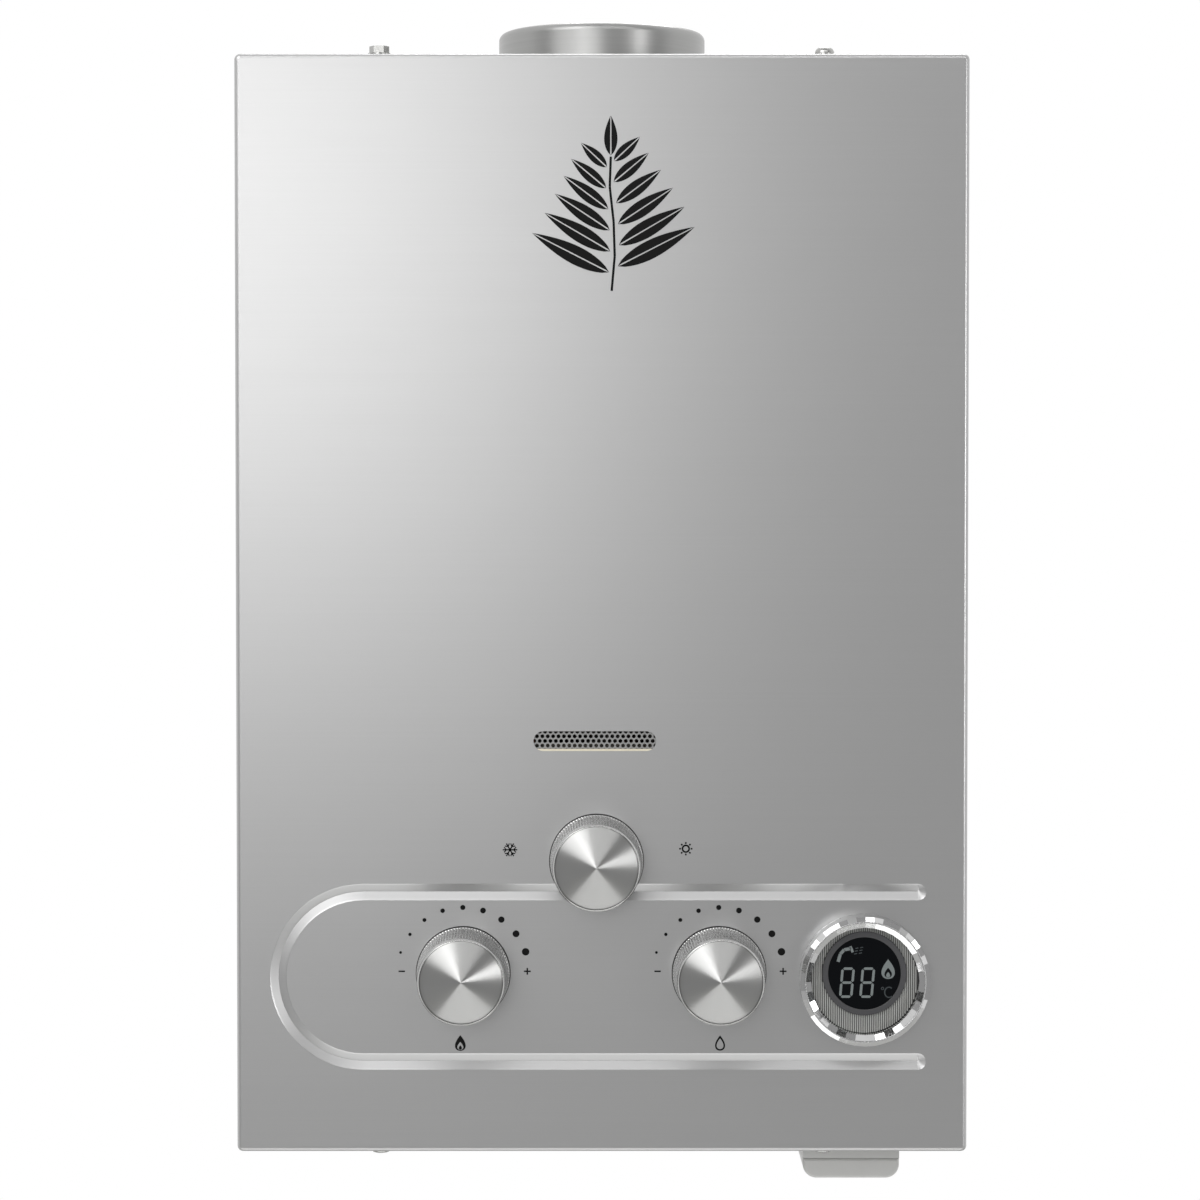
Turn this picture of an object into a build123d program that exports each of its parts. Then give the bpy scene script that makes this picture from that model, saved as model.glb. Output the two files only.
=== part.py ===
from build123d import *
import os
from math import atan2, ceil, cos, radians, sin

# Tankless gas water heater that hangs on a wall, in millimetres.
# +Z is up, the front faces -Y and the wall is the plane Y = 0. The origin lies on the wall plane,
# in the middle of the four wall screws, which is also the middle of the casing.

# Casing of sheet steel
CASE_W = 340.0
CASE_H = 510.0
CASE_D = 140.0
SHEET = 1.0
SHEET_GAP = 0.2
COVER_RIM = 19.0
COVER_CORNER_R = 2.7
COVER_EDGE_R = 2.2
PANEL_SETBACK = 1.5
PANEL_SEAM = 0.15
FLANGE = 13.0
WALL_HOLE_R = 3.5
WALL_HOLE_INSET = 30.0

# Pressed groove around the controls
GROOVE_R = 39.6
GROOVE_W = 7.7
GROOVE_DEPTH = 1.8
GROOVE_LEFT = 59.0
GROOVE_RIGHT = 23.0
GROOVE_HEIGHT = 81.9

# Sight slot with its mesh
SLOT_L = 57.0
SLOT_H = 9.2
SLOT_X = -3.3
SLOT_HEIGHT = 191.8
MESH_T = 0.6
MESH_LIP = 4.0
MESH_PITCH = 2.5
MESH_HOLE_R = 0.9

# Cooling slots in the side panels and the bottom
VENT_L = 62.0
VENT_H = 3.8
VENT_PITCH = 12.0
VENT_COUNT = 9
VENT_HEIGHT = 60.0
FLOOR_VENT_SETBACK = 14.0

# Cover screws
COVER_SCREW_X = 103.5
COVER_SCREW_SETBACK = 10.0
COVER_SCREW_R = 2.0
COVER_SCREW_L = 9.0
SCREW_CLEAR = 0.1
HEX_WASHER_R = 5.2
HEX_WASHER_T = 1.2
HEX_ACROSS = 8.0
HEX_H = 3.2
PAN_R = 4.5
PAN_H = 4.0
PAN_DOME_R = 2.8
LOW_PAN_H = 2.0
LOW_PAN_DOME_R = 1.4

# Flue collar and exhaust hood
FLUE_D = 100.0
COLLAR_T = 1.2
COLLAR_H = 20.0
COLLAR_LIP_R = 3.5
COLLAR_FLANGE = 9.0
COLLAR_WALL_GAP = 1.0
COLLAR_SCREW_OUT = 5.4
COLLAR_SCREW_ANGLE = 45.0
COLLAR_SCREW_R = 1.5
COLLAR_SCREW_L = 5.2
COLLAR_SCREW_HEAD_R = 2.6
COLLAR_SCREW_HEAD_H = 1.6
COLLAR_SCREW_COUNT = 4
HOOD_T = 1.0
HOOD_SLIP = 0.3
HOOD_SKIRT = 14.0
HOOD_LAP = 8.0
NECK_GAP = 0.8
NECK_RISE = 8.0
NECK_LENGTH = 26.0

# Combustion shell, heat exchanger and water pipes
SIDE_ROOM = 52.0
FRONT_ROOM = 22.0
BACK_ROOM = 22.0
HOOD_ROOM = 101.0
SHELL_T = 1.0
SIGHT_NOTCH_H = 12.0
TUBE_R = 5.0
TUBE_WALL = 0.8
TUBE_COUNT = 5
TUBE_LEAD = 4.0
TUBE_BEND_GAP = 0.2
TUBE_DROP = 32.0
TUBE_HOLE_CLEAR = 0.1
FIN_T = 0.6
FIN_PITCH = 8.0
FIN_H = 56.0
FIN_SIDE_GAP = 4.0
PIPE_R = 6.0
PIPE_WALL = 1.0
PIPE_BEND = 12.0
PIPE_STANDOFF = 20.0
FEED_RISE = 8.0
HOT_ELBOW_RISE = 17.0

# Burner
RACK_H = 38.0
RACK_T = 1.2
RACK_BELOW_JET = 6.0
BAR_COUNT = 8
BAR_W = 13.0
BAR_WALL = 0.8
BAR_GAP = 0.3
BAR_DROP = 4.0
BAR_FOOT = 1.0
PORT_W = 1.2
PORT_DEPTH = 3.0
PORT_COUNT = 9
MOUTH_R = 4.0
MOUTH_DEPTH = 18.0
MANIFOLD_SIZE = 14.0
MANIFOLD_EDGE_R = 2.0
MANIFOLD_GAP = 2.0
MANIFOLD_END = 6.0
JET_R = 2.5
JET_L = 7.0
JET_CLEAR = 0.1

# Controls on the front
ROW_HEIGHT = 83.6
MODE_RISE = 52.4
KNOB_SPACING_SHARE = 0.35
CONTROL_GAP_SHARE = 0.045
MODE_SHIFT = 2.5
KNOB_D = 43.4
KNOB_FACE_D = 40.2
KNOB_H = 25.0
KNOB_GAP = 1.0
KNOB_BEVEL = 0.9
KNOB_WALL = 3.0
KNOB_GRIP = 14.0
KNOB_BOSS_R = 7.0
DISC_T = 1.2
DISC_CROWN = 0.5
DISC_CLEAR = 0.05
SPINDLE_R = 4.0
SPINDLE_SEAT = 20.0
SPINDLE_CLEAR = 0.05
SPINDLE_END_GAP = 0.3
SPINDLE_HOLE_GAP = 2.0

# Gas and water valves
VALVE_SETBACK = 26.0
VALVE_D = 66.0
VALVE_H = 44.0
VALVE_EDGE_R = 3.0
GAS_LEFT = 32.0
WATER_HALF = 30.0
SEGMENT_H = 28.0
SEGMENT_D = 34.0
SEGMENT_RIGHT = 20.0
LEG_R = 6.0
LEG_INSET = 8.0
LEG_MARGIN = 10.0
LEG_SETBACK = 7.0
SOLENOID_R = 14.0
SOLENOID_L = 30.0
SOLENOID_CAP_R = 9.0
SOLENOID_CAP_L = 5.0

# Diaphragm, push rod and microswitch
DIAPHRAGM_R = 30.0
DIAPHRAGM_T = 2.0
CAVITY_R = 24.0
HOUSING_T = 18.0
HOUSING_CAVITY = 8.0
DOME_T = 10.0
DOME_CAVITY = 6.0
PLATE_R = 18.0
PLATE_T = 2.0
ROD_R = 2.5
ROD_CLEAR = 0.05
ROD_TRAVEL = 3.0
SLIDE_GAP = 0.3
COLLAR_DISC_R = 14.0
COLLAR_DISC_T = 1.0
COLLAR_DISC_GAP = 0.9
SWITCH_T = 5.0
SWITCH_W = 20.0
SWITCH_H = 10.0
SWITCH_RISE = 6.0
SWITCH_STOP = 0.1
PLUNGER_R = 1.2
PLUNGER_TRAVEL = 1.5
PLUNGER_SEAT = 2.5
PLUNGER_CLEAR = 0.05
PLUNGER_END_GAP = 0.2
CHAMBER_R = 11.0
CHAMBER_WALL = 5.0
GLAND_T = 8.0
GLAND_CLEAR = 0.02
PLUG_R = 9.0
PLUG_T = 4.0
SPRING_R = 6.5
SPRING_T = 0.8
SPRING_GAP = 0.2

# Threaded inlets, drain plug
INLET_SETBACK = 80.0
THREAD_D = 20.955
INLET_DROP = 14.0
INLET_BORE_R = 7.0
INLET_NECK_R = 9.0
INLET_NUT = 30.0
INLET_NUT_H = 8.0
INLET_HOLE_R = 13.0
GAS_INLET_SHIFT = 14.0
COLD_INLET_SHIFT = -8.0
HOT_OUTLET_RISE = 22.0
DRAIN_SETBACK = 42.0
DRAIN_STUB_R = 7.0
DRAIN_CAP_R = 9.0
DRAIN_CAP_EDGE_R = 1.4
DRAIN_CAP_L = 22.0
DRAIN_CAP_DROP = 6.0
DRAIN_SEAT = 12.0
DRAIN_CLEAR = 0.05
DRAIN_HOLE_GAP = 1.5

# Brackets, electrodes and control box
BRACKET_T = 1.5
BRACKET_W = 26.0
BRACKET_H = 24.0
BRACKET_X = 70.0
BRACKET_LIFT = 8.0
VALVE_PAD = 32.0
WALL_PAD = 24.0
ELECTRODE_R = 3.0
ELECTRODE_IN = 14.0
ELECTRODE_OUT = 10.0
ELECTRODE_RISE = 10.0
ELECTRODE_SETBACK = 28.0
ELECTRODE_SPACING = 34.0
ELECTRODE_TIP_R = 1.0
ELECTRODE_TIP_L = 16.0
LEAD_R = 1.5
LEAD_BEND = 8.0
LEAD_RUN = 14.0
LEAD_STEP = 6.0
LEAD_ENTRY = 14.0
LEAD_ENTRY_STEP = 12.0
CONTROL_W = 60.0
CONTROL_H = 80.0
CONTROL_D = 33.0
CONTROL_EDGE_R = 3.0
CONTROL_SIDE_GAP = 5.0
CONTROL_RISE = 20.0

# Battery box below the casing
BATTERY_INSET = 52.0
BATTERY_SETBACK = 24.0
CELL_D = 33.2
CELL_L = 61.0
CELL_GAP = 0.4
CELL_TIP_R = 5.0
CELL_TIP_L = 1.4
BOX_WALL = 2.0
BOX_LIP = 3.8
SKIRT_H = 9.6
LID_H = 9.4
LID_SEAM = 0.2
LID_CORNER_R = 6.5
LID_EDGE_R = 1.5
CELL_LIFT = 1.0
BOX_HOLE_GAP = 0.3
HINGE_BACK = 4.0
HINGE_DROP = 2.4
KNUCKLE_R = 3.0
KNUCKLE_LEN = 18.0
KNUCKLE_END = 7.0
KNUCKLE_GAP = 0.3
HINGE_PIN_R = 1.2
HINGE_CLEAR = 0.05
HINGE_WEB = 7.0

# Temperature display
DISPLAY_EDGE_SHARE = 0.053
DISPLAY_HEIGHT = 81.3
BEZEL_D = 60.5
BEZEL_H = 12.0
BEZEL_TOP_R = 29.4
BEZEL_RIM_R = 27.2
BEZEL_EDGE_H = 10.6
BEZEL_STEP_H = 6.0
BEZEL_BORE_R = 25.2
SPIGOT_T = 1.4
SPIGOT_CLEAR = 0.2
CAN_CLEAR = 0.2
CAN_WALL = 1.6
CAN_DEPTH = 21.0
CAN_FRONT = 2.0
CAN_FLANGE = 4.0
CAN_FLANGE_T = 2.0
DIAL_T = 1.6
LENS_R = 16.8
LENS_T = 1.8
LENS_CLEAR = 0.05
LENS_LEDGE = 2.0
LENS_SEAT = 0.8
LENS_OFFSET = 3.0
RING_W = 2.7
RING_H = 1.2

# Places that follow from the sizes above
FRONT = -CASE_D
BOTTOM = -CASE_H / 2
TOP = CASE_H / 2
PANEL_X = CASE_W / 2 - SHEET - SHEET_GAP
PANEL_Z = CASE_H / 2 - SHEET - SHEET_GAP
PANEL_FRONT = FRONT + SHEET + PANEL_SETBACK
PANEL_BACK = -SHEET
FLANGE_X = PANEL_X - SHEET - PANEL_SEAM
SIDE_TOP = PANEL_Z - SHEET - PANEL_SEAM
WALL_HOLE_X = PANEL_X - WALL_HOLE_INSET
WALL_HOLE_Z = PANEL_Z - WALL_HOLE_INSET
FACE = Plane.XZ.offset(CASE_D)
COVER_CUT = -(SHEET + GROOVE_DEPTH + 2 * SHEET)

GROOVE_Z = BOTTOM + GROOVE_HEIGHT
GROOVE_ARC_X = -CASE_W / 2 + GROOVE_LEFT
GROOVE_END_X = CASE_W / 2 - GROOVE_RIGHT
SLOT_Z = BOTTOM + SLOT_HEIGHT
COVER_SCREW_Y = FRONT + COVER_SCREW_SETBACK
COVER_SCREW_HOLE_R = COVER_SCREW_R + SCREW_CLEAR

FLUE_R = FLUE_D / 2
COLLAR_FLANGE_R = FLUE_R + COLLAR_FLANGE
FLUE_Y = -(COLLAR_FLANGE_R + COLLAR_WALL_GAP)
COLLAR_SCREW_PCR = FLUE_R + COLLAR_SCREW_OUT
NECK_R = FLUE_R - COLLAR_T - NECK_GAP

DISPLAY_X = CASE_W / 2 - CASE_W * DISPLAY_EDGE_SHARE - BEZEL_D / 2
WATER_X = DISPLAY_X - BEZEL_D / 2 - CASE_W * CONTROL_GAP_SHARE - KNOB_D / 2
GAS_X = WATER_X - CASE_W * KNOB_SPACING_SHARE
MODE_X = (GAS_X + WATER_X) / 2 + MODE_SHIFT
ROW_Z = BOTTOM + ROW_HEIGHT
MODE_Z = ROW_Z + MODE_RISE

SHELL_X = CASE_W / 2 - SIDE_ROOM
SHELL_FRONT = FRONT + FRONT_ROOM
SHELL_BACK = -BACK_ROOM
SHELL_D = SHELL_BACK - SHELL_FRONT
SHELL_Y = (SHELL_FRONT + SHELL_BACK) / 2
SHELL_TOP = TOP - HOOD_ROOM
TUBE_Z = SHELL_TOP - TUBE_DROP
TUBE_PITCH = SHELL_D / TUBE_COUNT
TUBE_ROWS = [SHELL_BACK - TUBE_PITCH * (i + 0.5) for i in range(TUBE_COUNT)]
TUBE_TURN_X = SHELL_X + TUBE_LEAD + TUBE_PITCH / 2
PIPE_X = SHELL_X + PIPE_STANDOFF

SEGMENT_TOP = MODE_Z + SEGMENT_H / 2
JET_Z = SEGMENT_TOP + MANIFOLD_SIZE / 2
RACK_BOTTOM = JET_Z - RACK_BELOW_JET
RACK_TOP = RACK_BOTTOM + RACK_H
MANIFOLD_BACK = SHELL_FRONT - MANIFOLD_GAP
MANIFOLD_FRONT = MANIFOLD_BACK - MANIFOLD_SIZE
BAR_PITCH = 2 * (SHELL_X - RACK_T) / BAR_COUNT
BAR_PLACES = [BAR_PITCH * (i - (BAR_COUNT - 1) / 2) for i in range(BAR_COUNT)]

VALVE_FRONT = FRONT + VALVE_SETBACK
VALVE_BACK = VALVE_FRONT + VALVE_D
VALVE_Y = (VALVE_FRONT + VALVE_BACK) / 2
VALVE_TOP = ROW_Z + VALVE_H / 2
VALVE_BOTTOM = ROW_Z - VALVE_H / 2
WATER_LEFT_X = WATER_X - WATER_HALF
WATER_RIGHT_X = WATER_X + WATER_HALF
DIAPHRAGM_X = WATER_LEFT_X - HOUSING_T
DOME_RIGHT_X = DIAPHRAGM_X - DIAPHRAGM_T
DOME_LEFT_X = DOME_RIGHT_X - DOME_T
ROD_GAP = SWITCH_T + SWITCH_STOP + ROD_TRAVEL + COLLAR_DISC_T + COLLAR_DISC_GAP
GAS_RIGHT_X = DOME_LEFT_X - ROD_GAP
GAS_LEFT_X = GAS_X - GAS_LEFT
CHAMBER_END_X = GAS_X + SPINDLE_R + CHAMBER_WALL
GLAND_LEFT_X = GAS_RIGHT_X - GLAND_T
PLUG_RIGHT_X = GLAND_LEFT_X - SLIDE_GAP
PLUG_LEFT_X = PLUG_RIGHT_X - PLUG_T
SWITCH_FACE_X = GAS_RIGHT_X + SWITCH_T
PLUNGER_TIP_X = SWITCH_FACE_X + PLUNGER_TRAVEL
SWITCH_Z = ROW_Z + SWITCH_RISE + SWITCH_H / 2
SPINDLE_BORE_R = SPINDLE_R + SPINDLE_CLEAR
SPINDLE_BORE_L = SPINDLE_SEAT + SPINDLE_END_GAP
LEG_X = GAS_RIGHT_X - LEG_INSET
LEG_Y = VALVE_FRONT + LEG_SETBACK

INLET_Y = FRONT + INLET_SETBACK
INLET_TIP_Z = BOTTOM - INLET_DROP
FLOOR_TOP = -PANEL_Z + SHEET
GAS_INLET_X = GAS_X + GAS_INLET_SHIFT
COLD_INLET_X = WATER_X + COLD_INLET_SHIFT
HOT_OUTLET_X = -PIPE_X
HOT_OUTLET_TOP = FLOOR_TOP + HOT_OUTLET_RISE
DRAIN_X = COLD_INLET_X
DRAIN_Y = FRONT + DRAIN_SETBACK
DRAIN_TIP_Z = BOTTOM - DRAIN_CAP_DROP
DRAIN_STUB_Z = DRAIN_TIP_Z + DRAIN_CAP_L - DRAIN_SEAT

ELECTRODE_Z = RACK_TOP + ELECTRODE_RISE
ELECTRODE_ROWS = [SHELL_FRONT + ELECTRODE_SETBACK + ELECTRODE_SPACING * i for i in range(2)]
ELECTRODE_HOLE_R = ELECTRODE_R + TUBE_HOLE_CLEAR
CONTROL_LEFT_X = -PANEL_X + SHEET + FLANGE + CONTROL_SIDE_GAP
CONTROL_FRONT = PANEL_BACK - CONTROL_D
CONTROL_BOTTOM = FLOOR_TOP + CONTROL_RISE
CONTROL_TOP = CONTROL_BOTTOM + CONTROL_H

BATTERY_X = CASE_W / 2 - BATTERY_INSET
BOX_IN_W = CELL_D + 2 * CELL_GAP
BOX_IN_D = 2 * CELL_D + 3 * CELL_GAP
BOX_W = BOX_IN_W + 2 * BOX_WALL
BOX_D = BOX_IN_D + 2 * BOX_WALL
SKIRT_W = BOX_W + 2 * BOX_LIP
SKIRT_D = BOX_D + 2 * BOX_LIP
SKIRT_FRONT = FRONT + BATTERY_SETBACK
SKIRT_BACK = SKIRT_FRONT + SKIRT_D
BATTERY_Y = (SKIRT_FRONT + SKIRT_BACK) / 2
SKIRT_BOTTOM = -PANEL_Z - SKIRT_H
LID_TOP = SKIRT_BOTTOM - LID_SEAM
LID_BOTTOM = LID_TOP - LID_H
CELL_BOTTOM = SKIRT_BOTTOM + CELL_LIFT
BOX_CEILING = CELL_BOTTOM + CELL_L + CELL_TIP_L + CELL_GAP
HINGE_Y = SKIRT_BACK + HINGE_BACK
HINGE_Z = LID_TOP - HINGE_DROP
KNUCKLE_SIDE = KNUCKLE_LEN / 2 + KNUCKLE_GAP

DISPLAY_Z = BOTTOM + DISPLAY_HEIGHT
BEZEL_R = BEZEL_D / 2
SPIGOT_R = BEZEL_BORE_R + SPIGOT_T
DISPLAY_HOLE_R = SPIGOT_R + SPIGOT_CLEAR
CAN_R = BEZEL_BORE_R - CAN_CLEAR

OUTWARD = (0, -1, 0)
INWARD = (0, 1, 0)
LEFTWARD = (-1, 0, 0)
RIGHTWARD = (1, 0, 0)
UPWARD = (0, 0, 1)
DOWNWARD = (0, 0, -1)
ON_BASE = (Align.CENTER, Align.CENTER, Align.MIN)


def finish(piece, label):
    """Name a finished piece and write it."""
    piece.part.label = label
    export_step(piece.part, f"parts/{label}.step")


def slab(x, y, z, mode=Mode.ADD):
    """Box between two limits along each axis."""
    with Locations(((x[0] + x[1]) / 2, (y[0] + y[1]) / 2, (z[0] + z[1]) / 2)):
        Box(x[1] - x[0], y[1] - y[0], z[1] - z[0], mode=mode)


def bar(start, direction, radius, length, mode=Mode.ADD):
    """Round bar from a point along a direction."""
    with Locations(Plane(origin=start, z_dir=direction).location):
        Cylinder(radius, length, align=ON_BASE, mode=mode)


def taper(start, direction, radius, end_radius, length, mode=Mode.ADD):
    """Cone from a point along a direction."""
    with Locations(Plane(origin=start, z_dir=direction).location):
        Cone(radius, end_radius, length, align=ON_BASE, mode=mode)


def hex_bar(start, direction, across, length, mode=Mode.ADD):
    """Hexagonal bar from a point along a direction, sized across its flats."""
    with BuildSketch(Plane(origin=start, z_dir=direction)) as hexagon:
        RegularPolygon(across / 2, 6, major_radius=False)
    extrude(hexagon.sketch, amount=length, mode=mode)


def plate_cut(plane, places, length, height, depth):
    """Round-ended slots cut through a plate at places on a plane."""
    with BuildSketch(plane) as slots:
        with Locations(*places):
            SlotOverall(length, height)
    extrude(slots.sketch, amount=depth, both=True, mode=Mode.SUBTRACT)


def tube(points, bend, radius, wall):
    """Hollow tube along straight runs joined by bends of one radius."""
    with BuildPart() as piece:
        with BuildLine() as route:
            FilletPolyline(*points, radius=bend)
        with BuildSketch(Plane(origin=route.line @ 0, z_dir=route.line % 0)):
            Circle(radius)
            if wall:
                Circle(radius - wall, mode=Mode.SUBTRACT)
        sweep(path=route.line)
    return piece


def v_groove(half_width, top, tip, mode):
    """V-shaped ridge or groove along the track, between two depths behind the cover's face."""
    end_y = FRONT + top
    depth = tip - top
    with BuildLine(Plane.XZ.offset(-end_y)) as track:
        leg = Line((GROOVE_END_X, GROOVE_Z + GROOVE_R), (GROOVE_ARC_X, GROOVE_Z + GROOVE_R))
        CenterArc((GROOVE_ARC_X, GROOVE_Z), GROOVE_R, 90, 180)
        Line((GROOVE_ARC_X, GROOVE_Z - GROOVE_R), (GROOVE_END_X, GROOVE_Z - GROOVE_R))
    with BuildSketch(Plane(origin=leg @ 0, x_dir=INWARD, z_dir=LEFTWARD)) as profile:
        with BuildLine():
            Polyline((0, -half_width), (depth, 0), (0, half_width), close=True)
        make_face()
    sweep(profile.sketch, path=track.line, mode=mode)
    for side in (1, -1):
        taper((GROOVE_END_X, end_y, GROOVE_Z + side * GROOVE_R), INWARD, half_width, 0, depth, mode)


os.makedirs("parts", exist_ok=True)

# Front cover: a pan with a pressed groove, the sight slot and the openings for the controls
GROOVE_SLOPE = GROOVE_DEPTH / (GROOVE_W / 2)
SHEET_ALONG_Y = SHEET / cos(atan2(GROOVE_DEPTH, GROOVE_W / 2))
with BuildPart() as front_cover:
    with BuildSketch(FACE):
        RectangleRounded(CASE_W, CASE_H, COVER_CORNER_R)
    extrude(amount=-COVER_RIM)
    fillet(front_cover.faces().sort_by(Axis.Y)[0].edges(), COVER_EDGE_R)
    with BuildSketch(FACE.offset(-SHEET)):
        RectangleRounded(CASE_W - 2 * SHEET, CASE_H - 2 * SHEET, COVER_CORNER_R - SHEET)
    extrude(amount=-COVER_RIM, mode=Mode.SUBTRACT)
    inner_face = front_cover.faces().filter_by(Axis.Y).sort_by(SortBy.AREA)[-2:].sort_by(Axis.Y)[-1]
    fillet(inner_face.edges(), COVER_EDGE_R - SHEET)
    ridge_tip = GROOVE_DEPTH + SHEET_ALONG_Y
    ridge_top = SHEET / 2
    v_groove((ridge_tip - ridge_top) / GROOVE_SLOPE, ridge_top, ridge_tip, Mode.ADD)
    v_groove((GROOVE_DEPTH + SHEET) / GROOVE_SLOPE, -SHEET, GROOVE_DEPTH, Mode.SUBTRACT)
    with BuildSketch(FACE):
        with Locations((SLOT_X, SLOT_Z)):
            SlotOverall(SLOT_L, SLOT_H)
        with Locations((GAS_X, ROW_Z), (WATER_X, ROW_Z), (MODE_X, MODE_Z)):
            Circle(SPINDLE_R + SPINDLE_HOLE_GAP)
        with Locations((DISPLAY_X, DISPLAY_Z)):
            Circle(DISPLAY_HOLE_R)
    extrude(amount=COVER_CUT, both=True, mode=Mode.SUBTRACT)
    for screw_x in (-COVER_SCREW_X, COVER_SCREW_X):
        for edge_z in (BOTTOM - SHEET, TOP - 2 * SHEET):
            bar((screw_x, COVER_SCREW_Y, edge_z), UPWARD, COVER_SCREW_HOLE_R, 3 * SHEET, Mode.SUBTRACT)
    bar((0, FLUE_Y, TOP - 2 * SHEET), UPWARD, COLLAR_FLANGE_R + SHEET, 3 * SHEET, Mode.SUBTRACT)
finish(front_cover, "front_cover")

# Mesh behind the sight slot
MESH_ROW_STEP = MESH_PITCH * sin(radians(60))
MESH_ROWS = ceil(SLOT_H / MESH_ROW_STEP)
MESH_COLUMNS = ceil(SLOT_L / MESH_PITCH)
MESH_PLACES = [
    (
        SLOT_X + MESH_PITCH * (column - (MESH_COLUMNS - 1) / 2 + (row % 2 - 1 / 2) / 2),
        SLOT_Z + MESH_ROW_STEP * (row - (MESH_ROWS - 1) / 2),
    )
    for row in range(MESH_ROWS)
    for column in range(MESH_COLUMNS)
]
with BuildPart() as sight_mesh:
    with BuildSketch(FACE.offset(-SHEET)):
        with Locations((SLOT_X, SLOT_Z)):
            Rectangle(SLOT_L + 2 * MESH_LIP, SLOT_H + 2 * MESH_LIP)
        with Locations(*MESH_PLACES):
            Circle(MESH_HOLE_R, mode=Mode.SUBTRACT)
    extrude(amount=-MESH_T)
finish(sight_mesh, "sight_mesh")

# Back plate with the four wall holes
with BuildPart() as back_plate:
    slab((-PANEL_X, PANEL_X), (PANEL_BACK, 0), (-PANEL_Z, PANEL_Z))
    for hole_x in (-WALL_HOLE_X, WALL_HOLE_X):
        for hole_z in (-WALL_HOLE_Z, WALL_HOLE_Z):
            bar((hole_x, PANEL_BACK, hole_z), INWARD, WALL_HOLE_R, SHEET, Mode.SUBTRACT)
finish(back_plate, "back_plate")

# Top and bottom panels, each with a flange on the back plate
COLLAR_SCREW_PLACES = [
    Vector(0, COLLAR_SCREW_PCR, 0).rotate(Axis.Z, COLLAR_SCREW_ANGLE + 360 / COLLAR_SCREW_COUNT * i)
    + Vector(0, FLUE_Y, 0)
    for i in range(COLLAR_SCREW_COUNT)
]
with BuildPart() as top_panel:
    slab((-FLANGE_X, FLANGE_X), (PANEL_FRONT, PANEL_BACK), (PANEL_Z - SHEET, PANEL_Z))
    slab((-FLANGE_X, FLANGE_X), (PANEL_BACK - SHEET, PANEL_BACK), (PANEL_Z - SHEET - FLANGE, PANEL_Z - SHEET))
    bar((0, FLUE_Y, PANEL_Z - SHEET), UPWARD, NECK_R + NECK_GAP, SHEET, Mode.SUBTRACT)
    for place in COLLAR_SCREW_PLACES:
        bar((place.X, place.Y, PANEL_Z - SHEET), UPWARD, COLLAR_SCREW_R + SCREW_CLEAR, SHEET, Mode.SUBTRACT)
    for screw_x in (-COVER_SCREW_X, COVER_SCREW_X):
        bar((screw_x, COVER_SCREW_Y, PANEL_Z - SHEET), UPWARD, COVER_SCREW_HOLE_R, SHEET, Mode.SUBTRACT)
finish(top_panel, "top_panel")

FLOOR = Plane.XY.offset(-PANEL_Z)
FLOOR_VENT_ROWS = [PANEL_BACK - FLOOR_VENT_SETBACK - VENT_PITCH * i for i in range(2)]
with BuildPart() as bottom_panel:
    slab((-FLANGE_X, FLANGE_X), (PANEL_FRONT, PANEL_BACK), (-PANEL_Z, FLOOR_TOP))
    slab((-FLANGE_X, FLANGE_X), (PANEL_BACK - SHEET, PANEL_BACK), (FLOOR_TOP, FLOOR_TOP + FLANGE))
    for inlet_x in (HOT_OUTLET_X, GAS_INLET_X, COLD_INLET_X):
        bar((inlet_x, INLET_Y, -PANEL_Z), UPWARD, INLET_HOLE_R, SHEET, Mode.SUBTRACT)
    bar((DRAIN_X, DRAIN_Y, -PANEL_Z), UPWARD, DRAIN_CAP_R + DRAIN_HOLE_GAP, SHEET, Mode.SUBTRACT)
    with Locations((BATTERY_X, BATTERY_Y, -PANEL_Z + SHEET / 2)):
        Box(BOX_W + 2 * BOX_HOLE_GAP, BOX_D + 2 * BOX_HOLE_GAP, SHEET, mode=Mode.SUBTRACT)
    for screw_x in (-COVER_SCREW_X, COVER_SCREW_X):
        bar((screw_x, COVER_SCREW_Y, -PANEL_Z), UPWARD, COVER_SCREW_HOLE_R, SHEET, Mode.SUBTRACT)
    vents = [(side * VENT_L, row_y) for side in (-1, 1) for row_y in FLOOR_VENT_ROWS]
    plate_cut(FLOOR, vents, VENT_L, VENT_H, 2 * SHEET)
finish(bottom_panel, "bottom_panel")

# Side panels with cooling slots
VENT_Y = (PANEL_FRONT + COVER_RIM + PANEL_BACK) / 2
VENT_ROWS = [BOTTOM + VENT_HEIGHT + VENT_PITCH * i for i in range(VENT_COUNT)]
for label, side in (("left_side", -1), ("right_side", 1)):
    outer_x = side * PANEL_X
    inner_x = side * (PANEL_X - SHEET)
    flange_x = side * (PANEL_X - SHEET - FLANGE)
    with BuildPart() as side_panel:
        slab(sorted((inner_x, outer_x)), (PANEL_FRONT, PANEL_BACK), (-SIDE_TOP, SIDE_TOP))
        flange_top = SIDE_TOP - FLANGE
        slab(sorted((flange_x, inner_x)), (PANEL_BACK - SHEET, PANEL_BACK), (-flange_top, flange_top))
        vents = [(VENT_Y, row_z) for row_z in VENT_ROWS]
        plate_cut(Plane.YZ.offset(outer_x), vents, VENT_L, VENT_H, 2 * SHEET)
    finish(side_panel, label)

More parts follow.
